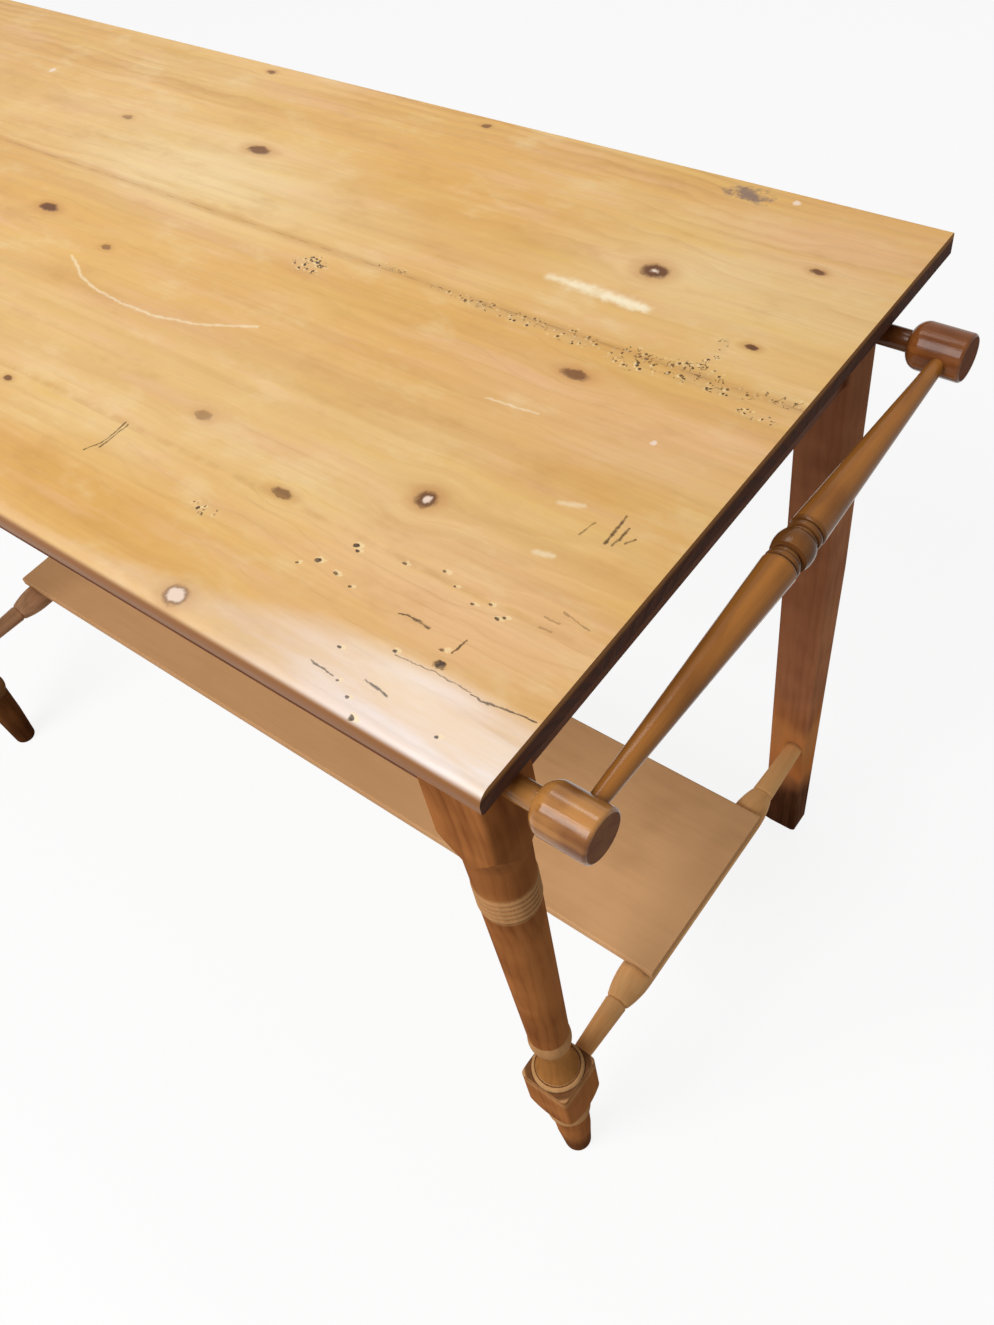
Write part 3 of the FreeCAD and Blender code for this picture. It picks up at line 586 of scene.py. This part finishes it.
# Pale rims beside the holes below a radius
RIM_OUTLINE = (2.4, 2.5, 1.9, 0.60)
RIM_STRETCH = 1.5
RIM_SHIFT = (-0.0016, -0.0010, 0.0)
RIMLESS_RADIUS = 0.004

# Edges and ends of the top: how far a face has to turn, painted shade on edge faces and underside,
# the worn upper arris and its depths
TURNED_LEVELS = (0.60, 0.90)
UNDERSIDE_SHADE_LEVELS = (-0.05, -0.4)
UNDERSIDE_SHADE_SHARE = 0.8
ARRIS_LEVELS = (0.0075, 0.0025)
ARRIS_SHARE = 0.9
ARRIS_SWAY = 0.004
TOP_END_RINGS = (0.2, 0.9, 0.7)

# Worm tracks: scales and levels of pits, of the flecks beside them and of crooked channels
WORM_MARGIN = 0.03
WORM_PATCH_SCALE = 60.0
WORM_AREA_OUTLINE = (0.8, 1.6, 0.7, 1.0)
WORM_GATE_SCALE = 150.0
WORM_GATE_LEVELS = (0.44, 0.50)
WORM_PIT_SCALE = 220.0
WORM_PIT_LEVELS = (0.34, 0.22)
WORM_FLECK_LEVELS = (0.42, 0.26)
WORM_FLECK_SHIFT = (0.0012, 0.0014, 0.0)
WORM_FLECK_SHARE = 0.7
WORM_CHANNEL_SCALE = 210.0
WORM_CHANNEL_LEVELS = (0.030, 0.014)
WORM_CHANNEL_GATE_SCALE = 130.0
WORM_CHANNEL_GATE_LEVELS = (0.52, 0.58)
WORM_BORED_LEVELS = (0.30, 0.60)
WORM_BORED_SHARE = 0.9
WORM_TAN_LEVELS = (0.35, 0.65, 0.1, 0.5)
WORM_DETAIL = 1.0

# Seams of the top: distances in metres where their shade and line start and are full, and shares
BACK_SEAM_SHADE = (0.0080, 0.0010, 0.35)
BACK_SEAM_LINE = (0.0014, 0.0003, 0.0, 0.25)
BACK_SEAM_GATE = (0.35, 0.65)
FRONT_SEAM_LINE = (0.0050, 0.0005, 0.0, 0.30)
FRONT_SEAM_GATE = (0.30, 0.65)


def wavering(shade):
    """Place that strays a little from the true one, so that a mark gets an uneven outline."""
    along = shade.sway(0.0, shade.noise(shade.place, WAVER_SCALE), WAVER_MOST)
    aside = shade.vector("ADD", shade.place, WAVER_SHIFT)
    across = shade.sway(0.0, shade.noise(aside, WAVER_SCALE), WAVER_MOST)
    return shade.vector("ADD", shade.place, shade.join(along, across, 0.0))


def ellipse(shade, place, pixel, along, across):
    """Distance of a place from a mark of the top, 1 at its rim."""
    centre = on_top(pixel)
    scale = (1 / along, 1 / across, 0.0)
    shift = (-centre.x / along, -centre.y / across, 0.0)
    return shade.vector("LENGTH", shade.vector("MULTIPLY_ADD", place, scale, shift))


def stroke(shade, place, pixels):
    """Distance of a place in metres from a line through pixels of the top."""
    nearest = None
    for start, end in zip(pixels, pixels[1:]):
        first, last = on_top(start), on_top(end)
        way = last - first
        from_first = shade.vector("SUBTRACT", place, tuple(first))
        from_first = shade.vector("MULTIPLY", from_first, (1, 1, 0))
        along = shade.vector("DOT_PRODUCT", from_first, tuple(way))
        along = shade.math("DIVIDE", along, way.length_squared)
        along = shade.math("MINIMUM", shade.math("MAXIMUM", along, 0.0), 1.0)
        foot = shade.vector("MULTIPLY", tuple(way), shade.join(along, along, along))
        gap = shade.vector("LENGTH", shade.vector("SUBTRACT", from_first, foot))
        nearest = gap if nearest is None else shade.math("MINIMUM", nearest, gap)
    return nearest


def lies_on(node, pixels, margin=0.012):
    """Whether a mark through these pixels touches a board."""
    low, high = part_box(node)
    return any(low.y - margin < on_top(pixel).y < high.y + margin for pixel in pixels)


def layered(shade, colour, noises, layers):
    """Colour under layers of other tones."""
    for name, low, high, share, tone in layers:
        colour = shade.tint(colour, tone, noises[name], low, high, share)
    return colour


def pine(shade, noises, late, ring_share):
    """Colour of the top's old pine, without its marks."""
    colour = shade.tint(ORANGE_HONEY, HONEY, noises["broad"], *BROAD_LEVELS)
    colour = layered(shade, colour, noises, UNDER_LAYERS)
    for pixel, half_along, half_across, share, tone in TONE_PATCHES:
        gap = ellipse(shade, shade.place, pixel, half_along, half_across)
        gap = shade.sway(gap, noises["patch"], TONE_PATCH_SWAY)
        colour = shade.tint(colour, tone, gap, *TONE_PATCH_LEVELS, share)
    colour = layered(shade, colour, noises, HUE_LAYERS)
    figure = shade.rise(noises["figure"], *FIGURE_LEVELS, 0.0, ring_share)
    colour = shade.mix(shade.product(late, figure), colour, GRAIN_BROWN)
    return layered(shade, colour, noises, GRAIN_LAYERS)


def waxed(shade, colour, noises, front, up):
    """Colour and coat with the waxed strip along the front edge; its pale bloom is partly painted
    highlight.
    """
    x, y = shade.split(shade.place)[:2]
    width = shade.rise(x, *WAX_REACH, *WAX_WIDTHS)
    strip = shade.math("DIVIDE", shade.math("SUBTRACT", y, front), width)
    strip = shade.sway(strip, noises["patch"], WAX_PATCH_SWAY)
    strip = shade.sway(strip, noises["streak"], WAX_STREAK_SWAY)
    strip = shade.product(shade.rise(strip, *WAX_LEVELS), shade.rise(up, *WAX_UP_LEVELS))
    # Pale bloom: worn wax and a painted highlight
    bloom = shade.rise(x, *BLOOM_AND_SHEEN_REACH, *BLOOM_AND_SHEEN_SHARES)
    bloom = shade.product(strip, bloom, shade.rise(noises["hue"], *BLOOM_AND_SHEEN_STREAKS))
    return shade.mix(bloom, colour, WAX_BLOOM_AND_SHEEN), shade.product(strip, WAX_COAT)


def knotted(shade, colour, height, knots, ragged):
    """Colour and height with dark knots, some with a pale plug."""
    for gap, _, dark, plug in knots:
        uneven = shade.math("MULTIPLY_ADD", ragged, KNOT_FRAY, gap)
        colour = shade.tint(colour, KNOT_HALO, gap, *KNOT_HALO_LEVELS, KNOT_HALO_SHARE * dark)
        colour = shade.tint(colour, KNOT_BROWN, uneven, *KNOT_LEVELS, dark)
        if plug:
            levels = (plug + PLUG_STARTS, plug + PLUG_FULL)
            colour = shade.tint(colour, PLUG_PALE, uneven, *levels, PLUG_SHARE)
        height = shade.math("SUBTRACT", height, shade.rise(uneven, *KNOT_DENT))
    return colour, height


def worm_tracks(shade, node, colour, height, patchy):
    """Colour and height with fine holes and crooked channels, and pale raw wood round them."""
    area = None
    for place in WORM_PLACES:
        if lies_on(node, place[:1], WORM_MARGIN):
            gap = ellipse(shade, shade.place, *place)
            area = shade.larger(area, shade.blot(gap, patchy, *WORM_AREA_OUTLINE))
    if area is None:
        return colour, height
    gate = shade.noise(shade.place, WORM_GATE_SCALE, WORM_DETAIL)
    gate = shade.rise(gate, *WORM_GATE_LEVELS)
    pits = shade.rise(shade.cells(shade.place, WORM_PIT_SCALE), *WORM_PIT_LEVELS)
    beside = shade.vector("ADD", shade.place, WORM_FLECK_SHIFT)
    flecks = shade.rise(shade.cells(beside, WORM_PIT_SCALE), *WORM_FLECK_LEVELS)
    crooked = shade.noise(shade.place, WORM_CHANNEL_SCALE, WORM_DETAIL)
    crooked = shade.rise(shade.apart(crooked, NOISE_MIDDLE), *WORM_CHANNEL_LEVELS)
    broken = shade.noise(shade.place, WORM_CHANNEL_GATE_SCALE, WORM_DETAIL)
    channels = shade.product(crooked, shade.rise(broken, *WORM_CHANNEL_GATE_LEVELS))
    bored = shade.product(shade.larger(shade.product(pits, gate), channels), area)
    bored = shade.rise(bored, *WORM_BORED_LEVELS)
    tan = shade.product(area, shade.rise(patchy, *WORM_TAN_LEVELS))
    colour = shade.mix(tan, colour, WORM_TAN)
    colour = shade.mix(shade.product(flecks, gate, area, WORM_FLECK_SHARE), colour, RAW_WOOD)
    colour = shade.mix(shade.product(bored, WORM_BORED_SHARE), colour, WORM_DARK)
    return colour, shade.math("SUBTRACT", height, bored)


def seamed(shade, colour, patchy):
    """Colour with the lines of the two seams of the top, the back one clearer."""
    y = shade.split(shade.place)[Y_AXIS]
    gap = shade.apart(y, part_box("top_board_back")[0].y)
    colour = shade.tint(colour, GRAIN_BROWN, gap, *BACK_SEAM_SHADE)
    line = shade.product(shade.rise(gap, *BACK_SEAM_LINE), shade.rise(patchy, *BACK_SEAM_GATE))
    colour = shade.mix(line, colour, KNOT_BROWN)
    gap = shade.apart(y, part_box("top_board_front")[1].y)
    line = shade.product(shade.rise(gap, *FRONT_SEAM_LINE), shade.rise(patchy, *FRONT_SEAM_GATE))
    return shade.mix(line, colour, GRAIN_BROWN)


def pale_marks(shade, node, colour, uneven_place, ragged):
    """Colour with pale scratches and dots and the grey stain."""
    for pixels, half, share in SCRATCHES:
        if lies_on(node, pixels):
            outline = [half * part for part in SCRATCH_OUTLINE]
            mark = shade.blot(stroke(shade, uneven_place, pixels), ragged, *outline, share)
            colour = shade.mix(mark, colour, SCRATCH_PALE)
    for pixel, radius in DOTS:
        if lies_on(node, [pixel]):
            gap = ellipse(shade, uneven_place, pixel, radius, radius)
            colour = shade.mix(shade.blot(gap, ragged, *DOT_OUTLINE), colour, PLUG_PALE)
    if lies_on(node, STAIN[:1]):
        gap = ellipse(shade, shade.place, *STAIN)
        mark = shade.blot(gap, shade.noise(shade.place, *STAIN_NOISE), *STAIN_OUTLINE)
        colour = shade.mix(mark, colour, STAIN_GREY)
    return colour


def dark_marks(shade, node, colour, height, uneven_place, ragged):
    """Colour and height with dark cuts, and holes with a pale rim beside them."""
    beside = shade.vector("ADD", uneven_place, RIM_SHIFT)
    cut = None
    for pixels, half, share in CUTS:
        if lies_on(node, pixels):
            outline = [half * part for part in CUT_OUTLINE]
            mark = shade.blot(stroke(shade, uneven_place, pixels), ragged, *outline, share)
            cut = shade.larger(cut, mark)
    for pixel, radius in HOLES:
        if lies_on(node, [pixel]):
            if radius < RIMLESS_RADIUS:
                gap = ellipse(shade, beside, pixel, radius * RIM_STRETCH, radius)
                colour = shade.mix(shade.blot(gap, ragged, *RIM_OUTLINE), colour, RAW_WOOD)
            gap = ellipse(shade, uneven_place, pixel, radius, radius * HOLE_FLATTENING)
            cut = shade.larger(cut, shade.blot(gap, ragged, *HOLE_OUTLINE))
    if cut is None:
        return colour, height
    share = shade.product(cut, shade.rise(ragged, *CUT_FADE))
    return shade.mix(share, colour, WORM_DARK), shade.math("SUBTRACT", height, cut)


def top_board(node, pith_across, pith_depth, spacing, ring_share):
    """Waxed old pine of one board of the top, with the marks that lie on it."""
    shade = Shade(node)
    low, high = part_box(node)
    x, y, z = shade.split(shade.place)
    uneven_place = wavering(shade)
    knots = [
        (ellipse(shade, uneven_place, pixel, along, across), on_top(pixel).y, dark, plug)
        for pixel, along, across, dark, plug in KNOTS
        if lies_on(node, [pixel])
    ]
    bent = y
    for gap, centre, _, _ in knots:
        near = shade.math("EXPONENT", shade.product(gap, gap, -KNOT_BEND_FADE))
        offset = shade.product(shade.math("SUBTRACT", y, centre), near)
        bent = shade.math("MULTIPLY_ADD", offset, -KNOT_BEND, bent)
    across = shade.math("SUBTRACT", bent, low.y + (high.y - low.y) * pith_across)
    depth = shade.math("SUBTRACT", z, low.z - pith_depth)
    late = late_wood(shade, rings(shade, x, across, depth, spacing))
    noises = {name: shade.grain(x, y, z, form) for name, form in TOP_NOISES.items()}
    noises.update((name, shade.grain(x, bent, z, form)) for name, form in BENT_NOISES.items())
    colour = pine(shade, noises, late, ring_share)
    height = relief(shade, noises["fibre"], TOP_FIBRE_RELIEF, late)
    rough = shade.rise(noises["patch"], *TOP_ROUGH_LEVELS, *SATIN)

    endways, sideways, up = shade.split(shade.normal)
    coat = 0.0
    if node == "top_board_front":
        colour, coat = waxed(shade, colour, noises, low.y, up)
    ragged = shade.noise(shade.place, RAGGED_SCALE)
    patchy = shade.noise(shade.place, WORM_PATCH_SCALE)
    colour, height = knotted(shade, colour, height, knots, ragged)
    colour, height = worm_tracks(shade, node, colour, height, patchy)
    colour = seamed(shade, colour, patchy)
    colour = pale_marks(shade, node, colour, uneven_place, ragged)
    colour, height = dark_marks(shade, node, colour, height, uneven_place, ragged)

    sideways = shade.math("ABSOLUTE", sideways)
    # Painted shade: the front and back edge faces turn brown
    colour = shade.tint(colour, EDGE_SHADE_BROWN, sideways, *TURNED_LEVELS)
    # Painted shade: faces that look down turn dark
    colour = shade.tint(colour, BARE_DARK, up, *UNDERSIDE_SHADE_LEVELS, UNDERSIDE_SHADE_SHARE)
    growth = end_rings(shade, across, depth, spacing)
    end_grain = shade.tint(END_BROWN, END_DARK, growth, *TOP_END_RINGS)
    below = shade.sway(shade.math("SUBTRACT", high.z, z), noises["patch"], ARRIS_SWAY)
    end_grain = shade.tint(end_grain, ARRIS_BROWN, below, *ARRIS_LEVELS, ARRIS_SHARE)
    end_share = shade.rise(shade.math("ABSOLUTE", endways), *TURNED_LEVELS)
    colour = shade.mix(end_share, colour, end_grain)
    rough = shade.larger(rough, shade.product(end_share, END_ROUGHNESS))
    return shade.finish(shade.surface(colour, rough, TOP_SPECULAR, height, TOP_BUMP, coat))


# Planks: pith, noises in Shade.grain's form, and levels of streaks, blotches, painted crevice
# shade, wear and ends
PITH_DEPTH = 0.035
STREAKS = (0.06, 1.0, 110.0, 3.0, 0.6)
STREAK_LEVELS = (0.25, 0.75)
FIBRES = (0.06, 1.0, 520.0, 2.0, 0.5)
FIBRE_RELIEF = 0.5
BLOTCH_LEVELS = (0.30, 0.75)
BLOTCH_SHARE = 0.45
TINT_SWAY = 3
TINT_STREAKS = (0.2, 0.7)
TINT_STREAK_FADE = 0.7
CREVICE_REACH = 0.010
CREVICE_SHADE_LEVELS = (0.80, 0.35)
CORNER_REACH = 0.006
CORNER_LEVELS = (0.62, 0.30)
WEAR_STREAKS = (0.30, 0.60, 0.3, 1.0)
END_LEVELS = (0.90, 0.98, 0.0, 0.8)
END_RING_SPACING = 0.6
END_RINGS = (0.1, 0.9, 0.6)
ROUGH_FIBRES = 0.4
ROUGH_LEVELS = (0.3, 1.1)


def middle(node):
    """Middle of a node's box."""
    low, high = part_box(node)
    return (low + high) / 2


def tinted(shade, colour, along_axis, tints, blotch, streak):
    """Colour with soft bands of other tones along an axis."""
    reach = shade.split(shade.place)[along_axis]
    for low, high, soft, tone, share in tints:
        level = shade.sway(reach, blotch, TINT_SWAY * soft)
        start = shade.rise(level, low - soft, low + soft)
        stop = shade.rise(level, high + soft, high - soft)
        uneven = shade.rise(streak, *TINT_STREAKS, share, TINT_STREAK_FADE * share)
        colour = shade.mix(shade.product(start, stop, uneven), colour, tone)
    return colour


def plank(
    name, along_axis, tones, spacing=0.006, ring_share=0.10, grain=0.30, mottle=14.0, crevice_shade=0.75,
    wear=0.0, tints=(), painted_shade=None, gloss=DULL, specular=WOOD_SPECULAR, coat=0.0, end_tone=END_DARK,
):
    """Wood with grain along an axis, painted shade in crevices and on one side, worn at corners,
    tinted along the axis.
    """
    light, dark, worn_tone = tones
    shade = Shade(name)
    parts = shade.split(shade.vector("SUBTRACT", shade.place, tuple(middle(name))))
    along, across, depth = (parts[(along_axis + step) % 3] for step in range(3))
    pith = shade.math("ADD", depth, PITH_DEPTH)
    late = late_wood(shade, rings(shade, along, across, pith, spacing))
    streak = shade.grain(along, across, depth, STREAKS)
    fibre = shade.grain(along, across, depth, FIBRES)
    blotch = shade.noise(shade.place, mottle)
    streaky = shade.rise(streak, *STREAK_LEVELS, 0.0, grain)
    tone = shade.math("MULTIPLY_ADD", late, ring_share, streaky)
    tone = shade.math("MULTIPLY_ADD", shade.rise(blotch, *BLOTCH_LEVELS), BLOTCH_SHARE, tone)
    colour = shade.tint(light, dark, tone, 0.0, 1.0)
    colour = tinted(shade, colour, along_axis, tints, blotch, streak)
    # Painted shade: darker wood on the rail's side towards the table, for a dark reflection
    if painted_shade:
        inward = shade.sway(parts[X_AXIS], streak, PAINTED_SHADE_SWAY)
        colour = shade.mix(shade.rise(inward, *painted_shade), colour, LEG_DEEP)
    # Painted shade: ambient occlusion darkens the wood in crevices and between parts
    openness = shade.crevices(CREVICE_REACH)
    colour = shade.tint(colour, LEG_DEEP, openness, *CREVICE_SHADE_LEVELS, crevice_shade)
    if wear:
        corner = shade.rise(shade.crevices(CORNER_REACH, inside=True), *CORNER_LEVELS)
        worn = shade.product(corner, shade.rise(streak, *WEAR_STREAKS), wear)
        colour = shade.mix(worn, colour, worn_tone)
    growth = end_rings(shade, across, depth, spacing * END_RING_SPACING)
    end_grain = shade.tint(dark, end_tone, growth, *END_RINGS)
    facing = shade.math("ABSOLUTE", shade.split(shade.normal)[along_axis])
    end_share = shade.rise(facing, *END_LEVELS)
    colour = shade.mix(end_share, colour, end_grain)
    rough = shade.math("MULTIPLY_ADD", fibre, ROUGH_FIBRES, blotch)
    rough = shade.larger(shade.rise(rough, *ROUGH_LEVELS, *gloss), end_share)
    height = relief(shade, fibre, FIBRE_RELIEF, late)
    if coat:
        coat = shade.product(coat, shade.math("SUBTRACT", 1.0, end_share))
    surface = shade.surface(colour, rough, specular, height, WOOD_BUMP, coat, POLISH_ROUGHNESS)
    return shade.finish(surface)


RUST_NOISE = (700.0, 3.0, 0.6)
RUST_LEVELS = (0.45, 0.65)
RUST_ROUGH_LEVELS = (0.3, 0.7)


def dull_steel():
    """Old screws: dull steel with rust blooms."""
    shade = Shade("dull_steel")
    bloom = shade.noise(shade.place, *RUST_NOISE)
    colour = shade.tint(STEEL, RUST, bloom, *RUST_LEVELS)
    rough = shade.rise(bloom, *RUST_ROUGH_LEVELS, *RUSTY)
    surface = shade.surface(
        colour, rough, STEEL_SPECULAR, bloom, STEEL_BUMP, metallic=STEEL_METALLIC,
    )
    return shade.finish(surface)


def dress(node, material):
    """Gives a node one material."""
    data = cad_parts[node].data
    data.materials.clear()
    data.materials.append(material)


# Boards of the top: place of the pith across the board, its depth below, ring spacing, ring share
TOP_BOARDS = {
    "top_board_front": (0.35, 0.045, 0.0100, 0.16),
    "top_board_middle": (0.55, 0.060, 0.0120, 0.16),
    "top_board_back": (0.45, 0.040, 0.0110, 0.34),
}
# Planks: axis of the grain, tones, and what differs from a plain plank
LEG_WOOD = {
    "spacing": 0.007, "grain": 0.22, "crevice_shade": 0.5, "wear": 0.6,
    "gloss": WORN_DULL, "specular": LEG_SPECULAR,
}
ARM_WOOD = {
    "grain": 0.4, "mottle": 38.0, "gloss": POLISHED, "specular": ARM_SPECULAR, "end_tone": ARM_DARK,
}
RAIL_WOOD = {
    "wear": 0.3, "tints": RAIL_TINTS, "painted_shade": RAIL_PAINTED_SHADE,
    "gloss": POLISHED, "specular": RAIL_SPECULAR,
}
SHELF_WOOD = {
    "spacing": 0.014, "ring_share": 0.05, "grain": 0.2,
    "tints": SHELF_SHADE_TINTS, "end_tone": STRETCHER_DARK,
}
PLANKS = {
    "shelf": (X_AXIS, SHELF_TONES, SHELF_WOOD),
    "leg_front_right": (Z_AXIS, LEG_TONES, {**LEG_WOOD, "tints": FRONT_LEG_TINTS}),
    "leg_front_left": (Z_AXIS, LEG_TONES, {**LEG_WOOD, "tints": LEFT_LEG_TINTS}),
    "leg_back_right": (Z_AXIS, BACK_LEG_TONES, {**LEG_WOOD, "tints": BACK_LEG_TINTS}),
    "leg_back_left": (Z_AXIS, BACK_LEG_TONES, {**LEG_WOOD, "tints": BACK_LEG_TINTS}),
    "stretcher_right": (Y_AXIS, RIGHT_STRETCHER_TONES, {"wear": 0.5, "tints": STRETCHER_TINTS}),
    "stretcher_left": (Y_AXIS, SHADED_LEFT_STRETCHER_TONES, {"wear": 0.3}),
    "towel_arm_front": (X_AXIS, ARM_TONES, {**ARM_WOOD, "coat": 0.20}),
    "towel_arm_back": (X_AXIS, SHADED_BACK_ARM_TONES, {**ARM_WOOD, "tints": BACK_ARM_SHADE_TINTS}),
    "towel_rail": (Y_AXIS, RAIL_TONES, RAIL_WOOD),
    "top_dowels": (Y_AXIS, BARE_TONES, {}),
}
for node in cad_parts:
    end_axis = Y_AXIS if "_end_" in node else X_AXIS
    # Aprons get dark tones that paint the shade under the top
    if node.startswith("apron"):
        PLANKS[node] = (end_axis, SHADED_APRON_TONES, {})
    elif node.startswith("glue_block"):
        PLANKS[node] = (end_axis, BARE_TONES, {})

for node, board in TOP_BOARDS.items():
    dress(node, top_board(node, *board))
for node, (axis, tones, looks) in PLANKS.items():
    dress(node, plank(node, axis, tones, **looks))
steel = dull_steel()
for node in ("top_screws", "shelf_screws"):
    dress(node, steel)

# Stage: pale floor, soft lamps and a world that shows white
FLOOR_REACH = 14.0
FLOOR_GLOW_SHARE = 0.88
WORLD_LEVEL = 0.28
KEY_PLACE = Vector((-0.2, -2.5, 3.4))
KEY_SIZE = 2.0
KEY_POWER = 108.0
WINDOW_PLACE = Vector((-0.12, 0.36, 2.10))
WINDOW_SIZE = (0.85, 0.36)
WINDOW_POWER = 6.0


def seen_rays(tree):
    """Number that is 1 for rays from the camera, a reflection or glass, and 0 for the rest."""
    rays = tree.nodes.new("ShaderNodeLightPath").outputs
    total = rays["Is Camera Ray"]
    for kind in ("Is Glossy Ray", "Is Transmission Ray"):
        larger = tree.nodes.new("ShaderNodeMath")
        larger.operation = "MAXIMUM"
        tree.links.new(total, larger.inputs[0])
        tree.links.new(rays[kind], larger.inputs[1])
        total = larger.outputs[0]
    return total


FLOOR_SPECK_SCALE = 30.0
FLOOR_SPECK_LEVELS = (0.3, 0.7)


def add_floor():
    """Pale floor that stays near white to the camera and keeps the table's shadow."""
    bpy.ops.mesh.primitive_plane_add(size=2 * FLOOR_REACH, location=(0, 0, 0))
    floor = bpy.context.object
    floor.name = "floor"
    shade = Shade("floor")
    speck = shade.noise(shade.place, FLOOR_SPECK_SCALE)
    colour = shade.tint(FLOOR_PALE, FLOOR_SPECK, speck, *FLOOR_SPECK_LEVELS)
    seen = seen_rays(shade.tree)
    colour = shade.mix(seen, colour, WHITE)
    plain = shade.surface(colour, FLOOR_ROUGHNESS, specular=0.0)
    white = shade.add("ShaderNodeEmission").outputs[0]
    both = shade.add("ShaderNodeMixShader")
    share = shade.product(seen, FLOOR_GLOW_SHARE)
    for socket, value in zip(both.inputs, (share, plain, white)):
        shade.feed(socket, value)
    floor.data.materials.append(shade.finish(both.outputs[0]))


def add_lamp(name, place, aim, power, size_x, size_y):
    """Rectangular soft lamp that looks at a point."""
    lamp = bpy.data.lights.new(name, "AREA")
    lamp.shape = "RECTANGLE"
    lamp.size = size_x
    lamp.size_y = size_y
    lamp.energy = power
    holder = bpy.data.objects.new(name, lamp)
    turn = (aim - place).to_track_quat("-Z", "Y").to_matrix().to_4x4()
    holder.matrix_world = Matrix.Translation(place) @ turn
    bpy.context.scene.collection.objects.link(holder)


def set_world():
    """World that is white to the camera and to reflections, and a plain soft fill for the rest."""
    world = bpy.data.worlds.new("studio")
    bpy.context.scene.world = world
    world.use_nodes = True
    tree = world.node_tree
    sky = tree.nodes["Background"]
    level = tree.nodes.new("ShaderNodeMapRange")
    level.inputs["To Min"].default_value = WORLD_LEVEL
    level.inputs["To Max"].default_value = 1.0
    tree.links.new(seen_rays(tree), level.inputs["Value"])
    tree.links.new(level.outputs[0], sky.inputs["Strength"])
    sky.inputs["Color"].default_value = (1, 1, 1, 1)


def add_camera():
    """Camera at the photograph's place."""
    lens = bpy.data.cameras.new("camera")
    lens.sensor_fit = "VERTICAL"
    lens.sensor_height = SENSOR_HEIGHT
    lens.lens = SENSOR_HEIGHT * FOCAL_PIXELS / IMAGE_HEIGHT
    lens.clip_end = 4 * FLOOR_REACH
    camera = bpy.data.objects.new("camera", lens)
    camera.matrix_world = camera_matrix()
    bpy.context.scene.collection.objects.link(camera)
    bpy.context.scene.camera = camera


add_floor()
table_middle = (cad_box[0] + cad_box[1]) / 2
add_lamp("key", KEY_PLACE, table_middle, KEY_POWER, KEY_SIZE, KEY_SIZE)
below_window = WINDOW_PLACE - Vector((0, 0, 1))
add_lamp("window", WINDOW_PLACE, below_window, WINDOW_POWER, *WINDOW_SIZE)
set_world()
add_camera()
bpy.context.scene.view_settings.view_transform = "Standard"
